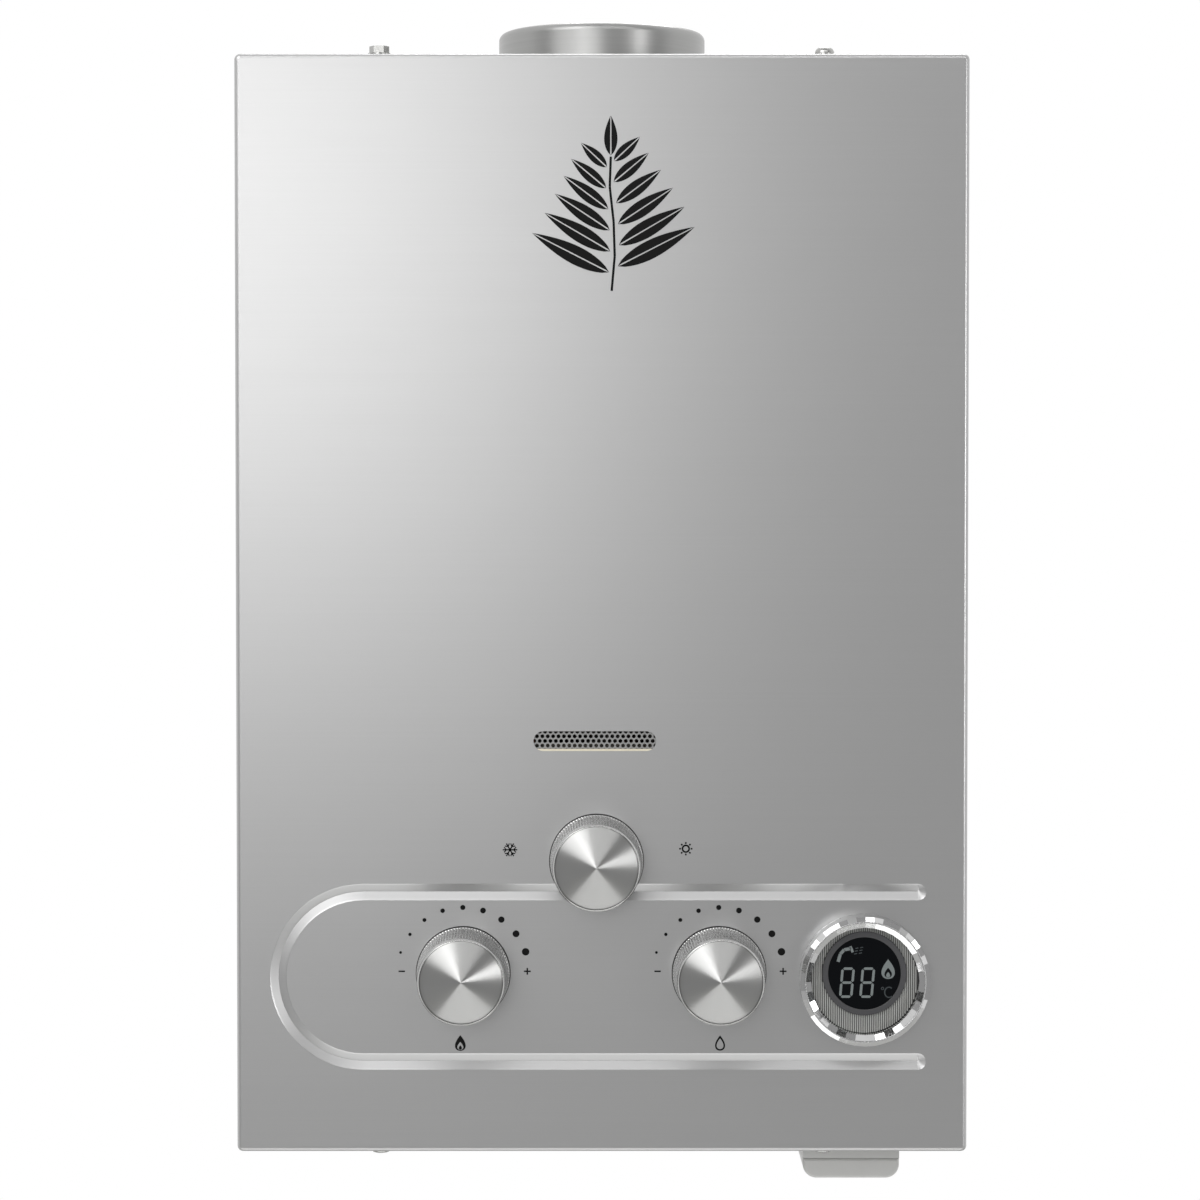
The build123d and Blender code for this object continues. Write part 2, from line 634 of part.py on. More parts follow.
# Cover screws: a hex washer head and a pan head on top, two low pan heads below
with BuildPart() as cover_screws_top:
    for screw_x in (-COVER_SCREW_X, COVER_SCREW_X):
        bar((screw_x, COVER_SCREW_Y, TOP), DOWNWARD, COVER_SCREW_R, COVER_SCREW_L)
    bar((-COVER_SCREW_X, COVER_SCREW_Y, TOP), UPWARD, HEX_WASHER_R, HEX_WASHER_T)
    hex_bar((-COVER_SCREW_X, COVER_SCREW_Y, TOP + HEX_WASHER_T), UPWARD, HEX_ACROSS, HEX_H)
    bar((COVER_SCREW_X, COVER_SCREW_Y, TOP), UPWARD, PAN_R, PAN_H)
    pan_rim = cover_screws_top.edges().filter_by(GeomType.CIRCLE).sort_by(Axis.Z)[-1]
    fillet(pan_rim, PAN_DOME_R)
finish(cover_screws_top, "cover_screws_top")

with BuildPart() as cover_screws_bottom:
    for screw_x in (-COVER_SCREW_X, COVER_SCREW_X):
        bar((screw_x, COVER_SCREW_Y, BOTTOM), UPWARD, COVER_SCREW_R, COVER_SCREW_L)
        bar((screw_x, COVER_SCREW_Y, BOTTOM), DOWNWARD, PAN_R, LOW_PAN_H)
    pan_rims = cover_screws_bottom.edges().filter_by(GeomType.CIRCLE).group_by(Axis.Z)[0]
    fillet(pan_rims, LOW_PAN_DOME_R)
finish(cover_screws_bottom, "cover_screws_bottom")

# Flue collar with a rolled lip and a screwed flange
with BuildPart() as flue_collar:
    with BuildSketch(Plane.XZ.offset(-FLUE_Y)):
        with BuildLine():
            lip_in_r = COLLAR_LIP_R - COLLAR_T
            lip_z = PANEL_Z + COLLAR_H - COLLAR_LIP_R
            lip_x = FLUE_R - COLLAR_LIP_R
            Polyline((FLUE_R, lip_z), (FLUE_R, PANEL_Z + COLLAR_T), (COLLAR_FLANGE_R, PANEL_Z + COLLAR_T),
                     (COLLAR_FLANGE_R, PANEL_Z), (FLUE_R - COLLAR_T, PANEL_Z), (FLUE_R - COLLAR_T, lip_z))
            CenterArc((lip_x, lip_z), lip_in_r, 0, 90)
            Line((lip_x, lip_z + lip_in_r), (lip_x, lip_z + COLLAR_LIP_R))
            CenterArc((lip_x, lip_z), COLLAR_LIP_R, 0, 90)
        make_face()
    revolve(axis=Axis((0, FLUE_Y, 0), UPWARD))
    for place in COLLAR_SCREW_PLACES:
        bar((place.X, place.Y, PANEL_Z), UPWARD, COLLAR_SCREW_R + SCREW_CLEAR, COLLAR_T, Mode.SUBTRACT)
finish(flue_collar, "flue_collar")

with BuildPart() as collar_screws:
    for place in COLLAR_SCREW_PLACES:
        seat = (place.X, place.Y, PANEL_Z + COLLAR_T)
        bar(seat, DOWNWARD, COLLAR_SCREW_R, COLLAR_SCREW_L)
        bar(seat, UPWARD, COLLAR_SCREW_HEAD_R, COLLAR_SCREW_HEAD_H)
finish(collar_screws, "collar_screws")

# Exhaust hood: a skirt over the shell, drawn in to a round neck inside the collar
HOOD_BOTTOM = SHELL_TOP - HOOD_LAP
HOOD_SHOULDER = HOOD_BOTTOM + HOOD_SKIRT
NECK_TOP = PANEL_Z + NECK_RISE
NECK_BOTTOM = NECK_TOP - NECK_LENGTH


def hood_solid(inset, mode):
    """Outside or inside of the hood, inset from its outer faces."""
    half_x = SHELL_X + HOOD_SLIP + HOOD_T - inset
    half_y = SHELL_D / 2 + HOOD_SLIP + HOOD_T - inset
    with BuildSketch(Plane.XY.offset(HOOD_BOTTOM)) as skirt:
        with Locations((0, SHELL_Y)):
            Rectangle(2 * half_x, 2 * half_y)
    extrude(skirt.sketch, amount=HOOD_SKIRT, mode=mode)
    with BuildSketch(Plane.XY.offset(HOOD_SHOULDER)) as shoulder:
        with Locations((0, SHELL_Y)):
            Rectangle(2 * half_x, 2 * half_y)
    with BuildSketch(Plane.XY.offset(NECK_BOTTOM)) as throat:
        with Locations((0, FLUE_Y)):
            Circle(NECK_R - inset)
    loft([shoulder.sketch, throat.sketch], mode=mode)
    bar((0, FLUE_Y, NECK_BOTTOM), UPWARD, NECK_R - inset, NECK_LENGTH, mode)


with BuildPart() as exhaust_hood:
    hood_solid(0, Mode.ADD)
    hood_solid(HOOD_T, Mode.SUBTRACT)
finish(exhaust_hood, "exhaust_hood")

# Combustion shell, open at both ends
with BuildPart() as combustion_shell:
    slab((-SHELL_X, SHELL_X), (SHELL_FRONT, SHELL_BACK), (RACK_TOP, SHELL_TOP))
    inner_x = SHELL_X - SHELL_T
    inner_y = (SHELL_FRONT + SHELL_T, SHELL_BACK - SHELL_T)
    slab((-inner_x, inner_x), inner_y, (RACK_TOP, SHELL_TOP), Mode.SUBTRACT)
    notch_x = (SLOT_X - SLOT_L / 2, SLOT_X + SLOT_L / 2)
    slab(notch_x, (SHELL_FRONT, SHELL_FRONT + SHELL_T), (RACK_TOP, RACK_TOP + SIGHT_NOTCH_H), Mode.SUBTRACT)
    for tube_y in TUBE_ROWS:
        bar((-SHELL_X, tube_y, TUBE_Z), RIGHTWARD, TUBE_R + TUBE_HOLE_CLEAR, 2 * SHELL_X, Mode.SUBTRACT)
    for electrode_y in ELECTRODE_ROWS:
        bar((-SHELL_X, electrode_y, ELECTRODE_Z), RIGHTWARD, ELECTRODE_HOLE_R, 2 * SHELL_T, Mode.SUBTRACT)
finish(combustion_shell, "combustion_shell")

# Heat exchanger: fins on one tube that runs to and fro
FIN_COUNT = int(2 * (SHELL_X - FIN_SIDE_GAP) // FIN_PITCH)
FIN_DEPTH = SHELL_D - 2 * FIN_SIDE_GAP
with BuildPart() as heat_fins:
    for i in range(FIN_COUNT):
        fin_x = FIN_PITCH * (i - (FIN_COUNT - 1) / 2)
        with BuildSketch(Plane.YZ.offset(fin_x)):
            with Locations((SHELL_Y, TUBE_Z)):
                Rectangle(FIN_DEPTH, FIN_H)
            with Locations(*[(tube_y, TUBE_Z) for tube_y in TUBE_ROWS]):
                Circle(TUBE_R + TUBE_HOLE_CLEAR, mode=Mode.SUBTRACT)
        extrude(amount=FIN_T)
finish(heat_fins, "heat_fins")

tube_points = [(SHELL_X, TUBE_ROWS[0], TUBE_Z)]
for i, (tube_y, next_y) in enumerate(zip(TUBE_ROWS, TUBE_ROWS[1:])):
    turn_x = TUBE_TURN_X if i % 2 else -TUBE_TURN_X
    tube_points += [(turn_x, tube_y, TUBE_Z), (turn_x, next_y, TUBE_Z)]
tube_points.append((-SHELL_X, TUBE_ROWS[-1], TUBE_Z))
exchanger_tube = tube(tube_points, TUBE_PITCH / 2 - TUBE_BEND_GAP, TUBE_R, TUBE_WALL)
finish(exchanger_tube, "exchanger_tube")

feed_z = ROW_Z + FEED_RISE
feed_points = [
    (WATER_RIGHT_X, VALVE_Y, feed_z),
    (PIPE_X, VALVE_Y, feed_z),
    (PIPE_X, TUBE_ROWS[0], feed_z),
    (PIPE_X, TUBE_ROWS[0], TUBE_Z),
    (SHELL_X, TUBE_ROWS[0], TUBE_Z),
]
cold_feed_pipe = tube(feed_points, PIPE_BEND, PIPE_R, PIPE_WALL)
finish(cold_feed_pipe, "cold_feed_pipe")

elbow_z = HOT_OUTLET_TOP + HOT_ELBOW_RISE
hot_points = [
    (-SHELL_X, TUBE_ROWS[-1], TUBE_Z),
    (HOT_OUTLET_X, TUBE_ROWS[-1], TUBE_Z),
    (HOT_OUTLET_X, TUBE_ROWS[-1], elbow_z),
    (HOT_OUTLET_X, INLET_Y, elbow_z),
    (HOT_OUTLET_X, INLET_Y, HOT_OUTLET_TOP),
]
hot_pipe = tube(hot_points, PIPE_BEND, PIPE_R, PIPE_WALL)
finish(hot_pipe, "hot_pipe")

# Burner: a rack under the shell, slotted bars, and a manifold whose jets point into the bars
with BuildPart() as burner_rack:
    slab((-SHELL_X, SHELL_X), (SHELL_FRONT, SHELL_BACK), (RACK_BOTTOM, RACK_TOP))
    inner_x = SHELL_X - RACK_T
    inner_y = (SHELL_FRONT + RACK_T, SHELL_BACK - RACK_T)
    slab((-inner_x, inner_x), inner_y, (RACK_BOTTOM, RACK_TOP), Mode.SUBTRACT)
    for bar_x in BAR_PLACES:
        bar((bar_x, SHELL_FRONT, JET_Z), INWARD, JET_R + JET_CLEAR, RACK_T, Mode.SUBTRACT)
finish(burner_rack, "burner_rack")

BAR_FRONT = SHELL_FRONT + RACK_T + BAR_GAP
BAR_BACK = SHELL_BACK - RACK_T - BAR_GAP
BAR_TOP = RACK_TOP - BAR_DROP
BAR_ARCH_Z = BAR_TOP - BAR_W / 2
BAR_LEG = BAR_ARCH_Z - RACK_BOTTOM - BAR_FOOT
PORT_PITCH = (BAR_BACK - BAR_FRONT) / PORT_COUNT


def arched_bar(x, inset, mode):
    """Outside or inside of one burner bar with an arched top, inset from its outer faces."""
    half = BAR_W / 2 - inset
    with BuildSketch(Plane.XZ.offset(-BAR_FRONT - inset)) as outline:
        with Locations((x, BAR_ARCH_Z)):
            Circle(half)
            Rectangle(2 * half, BAR_LEG - inset, align=(Align.CENTER, Align.MAX))
    extrude(outline.sketch, amount=BAR_FRONT - BAR_BACK + 2 * inset, mode=mode)


with BuildPart() as burner_bars:
    for bar_x in BAR_PLACES:
        half = BAR_W / 2
        arched_bar(bar_x, 0, Mode.ADD)
        arched_bar(bar_x, BAR_WALL, Mode.SUBTRACT)
        bar((bar_x, BAR_FRONT, JET_Z), INWARD, MOUTH_R, MOUTH_DEPTH, Mode.SUBTRACT)
        for i in range(PORT_COUNT):
            port_y = BAR_FRONT + PORT_PITCH * (i + 0.5)
            port = (port_y - PORT_W / 2, port_y + PORT_W / 2)
            slab((bar_x - half, bar_x + half), port, (BAR_TOP - PORT_DEPTH, BAR_TOP), Mode.SUBTRACT)
finish(burner_bars, "burner_bars")

MANIFOLD_X = SHELL_X - MANIFOLD_END
with BuildPart() as gas_manifold:
    manifold_z = (SEGMENT_TOP, SEGMENT_TOP + MANIFOLD_SIZE)
    slab((-MANIFOLD_X, MANIFOLD_X), (MANIFOLD_FRONT, MANIFOLD_BACK), manifold_z)
    fillet(gas_manifold.edges().filter_by(Axis.X), MANIFOLD_EDGE_R)
finish(gas_manifold, "gas_manifold")

with BuildPart() as injector_jets:
    for bar_x in BAR_PLACES:
        bar((bar_x, MANIFOLD_BACK, JET_Z), INWARD, JET_R, JET_L)
finish(injector_jets, "injector_jets")

# Segment valve under the manifold, with a leg that stands on the gas valve
with BuildPart() as segment_valve:
    segment_z = (MODE_Z - SEGMENT_H / 2, SEGMENT_TOP)
    segment_y = (MANIFOLD_FRONT, MANIFOLD_FRONT + SEGMENT_D)
    slab((LEG_X - LEG_MARGIN, MODE_X + SEGMENT_RIGHT), segment_y, segment_z)
    fillet(segment_valve.edges().filter_by(Axis.Z), VALVE_EDGE_R)
    bar((LEG_X, LEG_Y, VALVE_TOP), UPWARD, LEG_R, segment_z[0] - VALVE_TOP)
    bar((MODE_X, MANIFOLD_FRONT, MODE_Z), INWARD, SPINDLE_BORE_R, SPINDLE_BORE_L, Mode.SUBTRACT)
finish(segment_valve, "segment_valve")

# Gas valve: a cast body with the rod chamber, its gland and the shut-off solenoid
with BuildPart() as gas_valve_body:
    slab((GAS_LEFT_X, GAS_RIGHT_X), (VALVE_FRONT, VALVE_BACK), (VALVE_BOTTOM, VALVE_TOP))
    fillet(gas_valve_body.edges().filter_by(Axis.Z), VALVE_EDGE_R)
    bar((GAS_X, VALVE_FRONT, ROW_Z), INWARD, SPINDLE_BORE_R, SPINDLE_BORE_L, Mode.SUBTRACT)
    chamber_l = GAS_RIGHT_X - CHAMBER_END_X
    bar((GAS_RIGHT_X, VALVE_Y, ROW_Z), LEFTWARD, CHAMBER_R, chamber_l, Mode.SUBTRACT)
finish(gas_valve_body, "gas_valve_body")

with BuildPart() as rod_gland:
    bar((GAS_RIGHT_X, VALVE_Y, ROW_Z), LEFTWARD, CHAMBER_R - GLAND_CLEAR, GLAND_T)
    bar((GAS_RIGHT_X, VALVE_Y, ROW_Z), LEFTWARD, ROD_R + ROD_CLEAR, GLAND_T, Mode.SUBTRACT)
finish(rod_gland, "rod_gland")

with BuildPart() as gas_solenoid:
    bar((GAS_LEFT_X, VALVE_Y, ROW_Z), LEFTWARD, SOLENOID_R, SOLENOID_L)
    bar((GAS_LEFT_X - SOLENOID_L, VALVE_Y, ROW_Z), LEFTWARD, SOLENOID_CAP_R, SOLENOID_CAP_L)
finish(gas_solenoid, "gas_solenoid")

# Push rod with its pressure plate, switch disc and gas plug, and the spring behind the plug
PLATE_RIGHT_X = DOME_RIGHT_X - SLIDE_GAP
DISC_RIGHT_X = DOME_LEFT_X - COLLAR_DISC_GAP
with BuildPart() as push_rod:
    bar((PLATE_RIGHT_X, VALVE_Y, ROW_Z), LEFTWARD, ROD_R, PLATE_RIGHT_X - PLUG_LEFT_X)
    bar((PLATE_RIGHT_X, VALVE_Y, ROW_Z), LEFTWARD, PLATE_R, PLATE_T)
    bar((DISC_RIGHT_X, VALVE_Y, ROW_Z), LEFTWARD, COLLAR_DISC_R, COLLAR_DISC_T)
    bar((PLUG_RIGHT_X, VALVE_Y, ROW_Z), LEFTWARD, PLUG_R, PLUG_T)
finish(push_rod, "push_rod")

with BuildPart() as plug_spring:
    spring_l = PLUG_LEFT_X - CHAMBER_END_X - 2 * SPRING_GAP
    bar((PLUG_LEFT_X - SPRING_GAP, VALVE_Y, ROW_Z), LEFTWARD, SPRING_R, spring_l)
    bar((PLUG_LEFT_X - SPRING_GAP, VALVE_Y, ROW_Z), LEFTWARD, SPRING_R - SPRING_T, spring_l, Mode.SUBTRACT)
finish(plug_spring, "plug_spring")

# Microswitch on the gas valve, with the plunger that the rod's disc presses
with BuildPart() as microswitch:
    switch_y = (VALVE_Y - SWITCH_W / 2, VALVE_Y + SWITCH_W / 2)
    slab((GAS_RIGHT_X, SWITCH_FACE_X), switch_y, (SWITCH_Z - SWITCH_H / 2, SWITCH_Z + SWITCH_H / 2))
    bore_l = PLUNGER_SEAT + PLUNGER_TRAVEL + PLUNGER_END_GAP
    bar((SWITCH_FACE_X, VALVE_Y, SWITCH_Z), LEFTWARD, PLUNGER_R + PLUNGER_CLEAR, bore_l, Mode.SUBTRACT)
finish(microswitch, "microswitch")

with BuildPart() as switch_plunger:
    bar((PLUNGER_TIP_X, VALVE_Y, SWITCH_Z), LEFTWARD, PLUNGER_R, PLUNGER_TRAVEL + PLUNGER_SEAT)
finish(switch_plunger, "switch_plunger")

# Water valve: a cast body with a drain stub below, and the diaphragm between housing and dome
with BuildPart() as water_valve_body:
    slab((WATER_LEFT_X, WATER_RIGHT_X), (VALVE_FRONT, VALVE_BACK), (VALVE_BOTTOM, VALVE_TOP))
    fillet(water_valve_body.edges().filter_by(Axis.Z), VALVE_EDGE_R)
    bar((WATER_X, VALVE_FRONT, ROW_Z), INWARD, SPINDLE_BORE_R, SPINDLE_BORE_L, Mode.SUBTRACT)
    bar((DRAIN_X, DRAIN_Y, VALVE_BOTTOM), DOWNWARD, DRAIN_STUB_R, VALVE_BOTTOM - DRAIN_STUB_Z)
finish(water_valve_body, "water_valve_body")

with BuildPart() as diaphragm_housing:
    bar((WATER_LEFT_X, VALVE_Y, ROW_Z), LEFTWARD, DIAPHRAGM_R, HOUSING_T)
    bar((DIAPHRAGM_X, VALVE_Y, ROW_Z), RIGHTWARD, CAVITY_R, HOUSING_CAVITY, Mode.SUBTRACT)
finish(diaphragm_housing, "diaphragm_housing")

with BuildPart() as diaphragm:
    bar((DIAPHRAGM_X, VALVE_Y, ROW_Z), LEFTWARD, DIAPHRAGM_R, DIAPHRAGM_T)
finish(diaphragm, "diaphragm")

with BuildPart() as diaphragm_cover:
    bar((DOME_RIGHT_X, VALVE_Y, ROW_Z), LEFTWARD, DIAPHRAGM_R, DOME_T)
    bar((DOME_RIGHT_X, VALVE_Y, ROW_Z), LEFTWARD, CAVITY_R, DOME_CAVITY, Mode.SUBTRACT)
    bar((DOME_RIGHT_X, VALVE_Y, ROW_Z), LEFTWARD, ROD_R + ROD_CLEAR, DOME_T, Mode.SUBTRACT)
finish(diaphragm_cover, "diaphragm_cover")

with BuildPart() as drain_plug:
    bar((DRAIN_X, DRAIN_Y, DRAIN_TIP_Z), UPWARD, DRAIN_CAP_R, DRAIN_CAP_L)
    fillet(drain_plug.edges().sort_by(Axis.Z)[0], DRAIN_CAP_EDGE_R)
    bar((DRAIN_X, DRAIN_Y, DRAIN_STUB_Z), UPWARD, DRAIN_STUB_R + DRAIN_CLEAR, DRAIN_SEAT, Mode.SUBTRACT)
finish(drain_plug, "drain_plug")

# Threaded inlets and outlet, each with a nut that sits on the bottom panel
for label, inlet_x, inlet_top in (
    ("gas_inlet", GAS_INLET_X, VALVE_BOTTOM),
    ("cold_inlet", COLD_INLET_X, VALVE_BOTTOM),
    ("hot_outlet", HOT_OUTLET_X, HOT_OUTLET_TOP),
):
    with BuildPart() as inlet:
        bar((inlet_x, INLET_Y, INLET_TIP_Z), UPWARD, THREAD_D / 2, FLOOR_TOP - INLET_TIP_Z)
        hex_bar((inlet_x, INLET_Y, FLOOR_TOP), UPWARD, INLET_NUT, INLET_NUT_H)
        bar((inlet_x, INLET_Y, FLOOR_TOP), UPWARD, INLET_NECK_R, inlet_top - FLOOR_TOP)
        bar((inlet_x, INLET_Y, INLET_TIP_Z), UPWARD, INLET_BORE_R, inlet_top - INLET_TIP_Z, Mode.SUBTRACT)
    finish(inlet, label)

# Brackets from the back plate to the rack, the shell and the valves
with BuildPart() as support_brackets:
    for bracket_x in (-BRACKET_X, BRACKET_X):
        for bracket_z in (RACK_BOTTOM + BRACKET_LIFT, TUBE_Z - BRACKET_H / 2):
            left = bracket_x - BRACKET_W / 2
            wide = (left, left + BRACKET_W)
            tall = (bracket_z, bracket_z + BRACKET_H)
            slab(wide, (SHELL_BACK, SHELL_BACK + BRACKET_T), tall)
            slab((left, left + BRACKET_T), (SHELL_BACK, PANEL_BACK), tall)
            slab(wide, (PANEL_BACK - BRACKET_T, PANEL_BACK), tall)
finish(support_brackets, "support_brackets")

with BuildPart() as valve_bracket:
    wide = (GAS_X, WATER_X)
    web_z = VALVE_TOP - BRACKET_T
    slab(wide, (VALVE_BACK, VALVE_BACK + BRACKET_T), (VALVE_TOP - VALVE_PAD, VALVE_TOP))
    slab(wide, (VALVE_BACK, PANEL_BACK), (web_z, VALVE_TOP))
    slab(wide, (PANEL_BACK - BRACKET_T, PANEL_BACK), (web_z, web_z + WALL_PAD))
finish(valve_bracket, "valve_bracket")

# Spark electrode and flame probe with their leads to the control box
ELECTRODE_END_X = -SHELL_X - ELECTRODE_OUT
with BuildPart() as electrodes:
    for electrode_y in ELECTRODE_ROWS:
        start = (ELECTRODE_END_X, electrode_y, ELECTRODE_Z)
        bar(start, RIGHTWARD, ELECTRODE_R, ELECTRODE_OUT + ELECTRODE_IN)
        tip = (-SHELL_X + ELECTRODE_IN, electrode_y, ELECTRODE_Z)
        bar(tip, RIGHTWARD, ELECTRODE_TIP_R, ELECTRODE_TIP_L)
finish(electrodes, "electrodes")

with BuildPart() as electrode_leads:
    for i, electrode_y in enumerate(ELECTRODE_ROWS):
        lead_x = ELECTRODE_END_X - LEAD_RUN + LEAD_STEP * i - LEAD_STEP / 2
        lead_z = CONTROL_TOP - LEAD_ENTRY - LEAD_ENTRY_STEP * i
        lead_points = [
            (ELECTRODE_END_X, electrode_y, ELECTRODE_Z),
            (lead_x, electrode_y, ELECTRODE_Z),
            (lead_x, electrode_y, lead_z),
            (lead_x, CONTROL_FRONT, lead_z),
        ]
        lead = tube(lead_points, LEAD_BEND, LEAD_R, 0)
        add(lead.part)
finish(electrode_leads, "electrode_leads")

with BuildPart() as control_box:
    control_x = (CONTROL_LEFT_X, CONTROL_LEFT_X + CONTROL_W)
    slab(control_x, (CONTROL_FRONT, PANEL_BACK), (CONTROL_BOTTOM, CONTROL_TOP))
    fillet(control_box.edges().filter_by(Axis.Y), CONTROL_EDGE_R)
finish(control_box, "control_box")

# Battery box: a housing through the bottom panel, with hinge ears at the back
with BuildPart() as battery_box:
    with Locations((BATTERY_X, BATTERY_Y, SKIRT_BOTTOM)):
        Box(SKIRT_W, SKIRT_D, SKIRT_H, align=ON_BASE)
        box_top = BOX_CEILING + BOX_WALL - SKIRT_BOTTOM
        Box(BOX_W, BOX_D, box_top, align=ON_BASE)
        Box(BOX_IN_W, BOX_IN_D, box_top - BOX_WALL, align=ON_BASE, mode=Mode.SUBTRACT)
    for side in (-1, 1):
        ear_start = BATTERY_X + side * KNUCKLE_SIDE
        ear_x = sorted((ear_start, ear_start + side * KNUCKLE_END))
        bar((ear_x[0], HINGE_Y, HINGE_Z), RIGHTWARD, KNUCKLE_R, KNUCKLE_END)
        with BuildSketch(Plane.YZ.offset(ear_x[0])):
            with BuildLine():
                Polyline((SKIRT_BACK, SKIRT_BOTTOM), (HINGE_Y - KNUCKLE_R, HINGE_Z),
                         (HINGE_Y + KNUCKLE_R, HINGE_Z), (SKIRT_BACK, SKIRT_BOTTOM + HINGE_WEB), close=True)
            make_face()
        extrude(amount=KNUCKLE_END)
        bar((ear_x[0], HINGE_Y, HINGE_Z), RIGHTWARD, HINGE_PIN_R + HINGE_CLEAR, KNUCKLE_END, Mode.SUBTRACT)
finish(battery_box, "battery_box")

# Battery lid: a tray with rounded lower corners and a middle knuckle
with BuildPart() as battery_lid:
    with Locations((BATTERY_X, BATTERY_Y, LID_BOTTOM)):
        Box(SKIRT_W, SKIRT_D, LID_H, align=ON_BASE)
    fillet(battery_lid.faces().sort_by(Axis.Z)[0].edges().filter_by(Axis.Y), LID_CORNER_R)
    fillet(battery_lid.faces().sort_by(Axis.Y)[0].edges(), LID_EDGE_R)
    with BuildSketch(Plane.XZ.offset(-SKIRT_FRONT - BOX_WALL)) as pocket:
        with Locations((BATTERY_X, LID_TOP)):
            RectangleRounded(SKIRT_W - 2 * BOX_WALL, 2 * (LID_H - BOX_WALL), LID_CORNER_R - BOX_WALL)
    extrude(pocket.sketch, amount=-(SKIRT_D - 2 * BOX_WALL), mode=Mode.SUBTRACT)
    knuckle_start = BATTERY_X - KNUCKLE_LEN / 2
    knuckle_x = (knuckle_start, knuckle_start + KNUCKLE_LEN)
    slab(knuckle_x, (SKIRT_BACK - BOX_WALL, HINGE_Y), (HINGE_Z - KNUCKLE_R, HINGE_Z))
    bar((knuckle_start, HINGE_Y, HINGE_Z), RIGHTWARD, KNUCKLE_R, KNUCKLE_LEN)
    bar((knuckle_start, HINGE_Y, HINGE_Z), RIGHTWARD, HINGE_PIN_R + HINGE_CLEAR, KNUCKLE_LEN, Mode.SUBTRACT)
finish(battery_lid, "battery_lid")

with BuildPart() as battery_hinge_pin:
    pin_half = KNUCKLE_SIDE + KNUCKLE_END
    bar((BATTERY_X - pin_half, HINGE_Y, HINGE_Z), RIGHTWARD, HINGE_PIN_R, 2 * pin_half)
finish(battery_hinge_pin, "battery_hinge_pin")

with BuildPart() as battery_cells:
    for side in (-1, 1):
        cell_y = BATTERY_Y + side * (CELL_D + CELL_GAP) / 2
        bar((BATTERY_X, cell_y, CELL_BOTTOM), UPWARD, CELL_D / 2, CELL_L)
        bar((BATTERY_X, cell_y, CELL_BOTTOM + CELL_L), UPWARD, CELL_TIP_R, CELL_TIP_L)
finish(battery_cells, "battery_cells")

# Temperature display: bezel on the cover, can behind it, ribbed dial and round lens
DISPLAY_AXIS = Axis((DISPLAY_X, 0, DISPLAY_Z), OUTWARD)
with BuildPart() as display_bezel:
    with BuildSketch(Plane(origin=(DISPLAY_X, FRONT, DISPLAY_Z), x_dir=RIGHTWARD, z_dir=UPWARD)):
        with BuildLine():
            Polyline((BEZEL_R, 0), (BEZEL_R, -BEZEL_EDGE_H / 2), (BEZEL_TOP_R, -BEZEL_EDGE_H),
                     (BEZEL_TOP_R - BEZEL_H + BEZEL_EDGE_H, -BEZEL_H), (BEZEL_RIM_R, -BEZEL_H),
                     (BEZEL_BORE_R, -BEZEL_STEP_H), (BEZEL_BORE_R, SHEET), (SPIGOT_R, SHEET),
                     (SPIGOT_R, 0), close=True)
        make_face()
    revolve(axis=DISPLAY_AXIS)
finish(display_bezel, "display_bezel")

with BuildPart() as display_housing:
    front_y = FRONT - CAN_FRONT
    can_l = CAN_FRONT + SHEET + CAN_DEPTH
    bar((DISPLAY_X, front_y, DISPLAY_Z), INWARD, CAN_R, can_l)
    bar((DISPLAY_X, FRONT + SHEET, DISPLAY_Z), INWARD, DISPLAY_HOLE_R + CAN_FLANGE, CAN_FLANGE_T)
    bar((DISPLAY_X, front_y, DISPLAY_Z), INWARD, CAN_R - CAN_WALL, can_l - CAN_WALL, Mode.SUBTRACT)
finish(display_housing, "display_housing")

LENS_Z = DISPLAY_Z + LENS_OFFSET
DIAL_BACK = FRONT - CAN_FRONT
DIAL_FRONT = DIAL_BACK - DIAL_T
LENS_BACK = DIAL_BACK - LENS_SEAT
with BuildPart() as display_dial:
    bar((DISPLAY_X, DIAL_BACK, DISPLAY_Z), OUTWARD, CAN_R, DIAL_T)
    bar((DISPLAY_X, DIAL_FRONT, LENS_Z), OUTWARD, LENS_R + RING_W, RING_H)
    bar((DISPLAY_X, LENS_BACK, LENS_Z), OUTWARD, LENS_R + LENS_CLEAR, DIAL_T + RING_H, Mode.SUBTRACT)
    bar((DISPLAY_X, DIAL_BACK, LENS_Z), OUTWARD, LENS_R - LENS_LEDGE, LENS_SEAT, Mode.SUBTRACT)
finish(display_dial, "display_dial")

with BuildPart() as display_lens:
    bar((DISPLAY_X, LENS_BACK, LENS_Z), OUTWARD, LENS_R, LENS_T)
finish(display_lens, "display_lens")


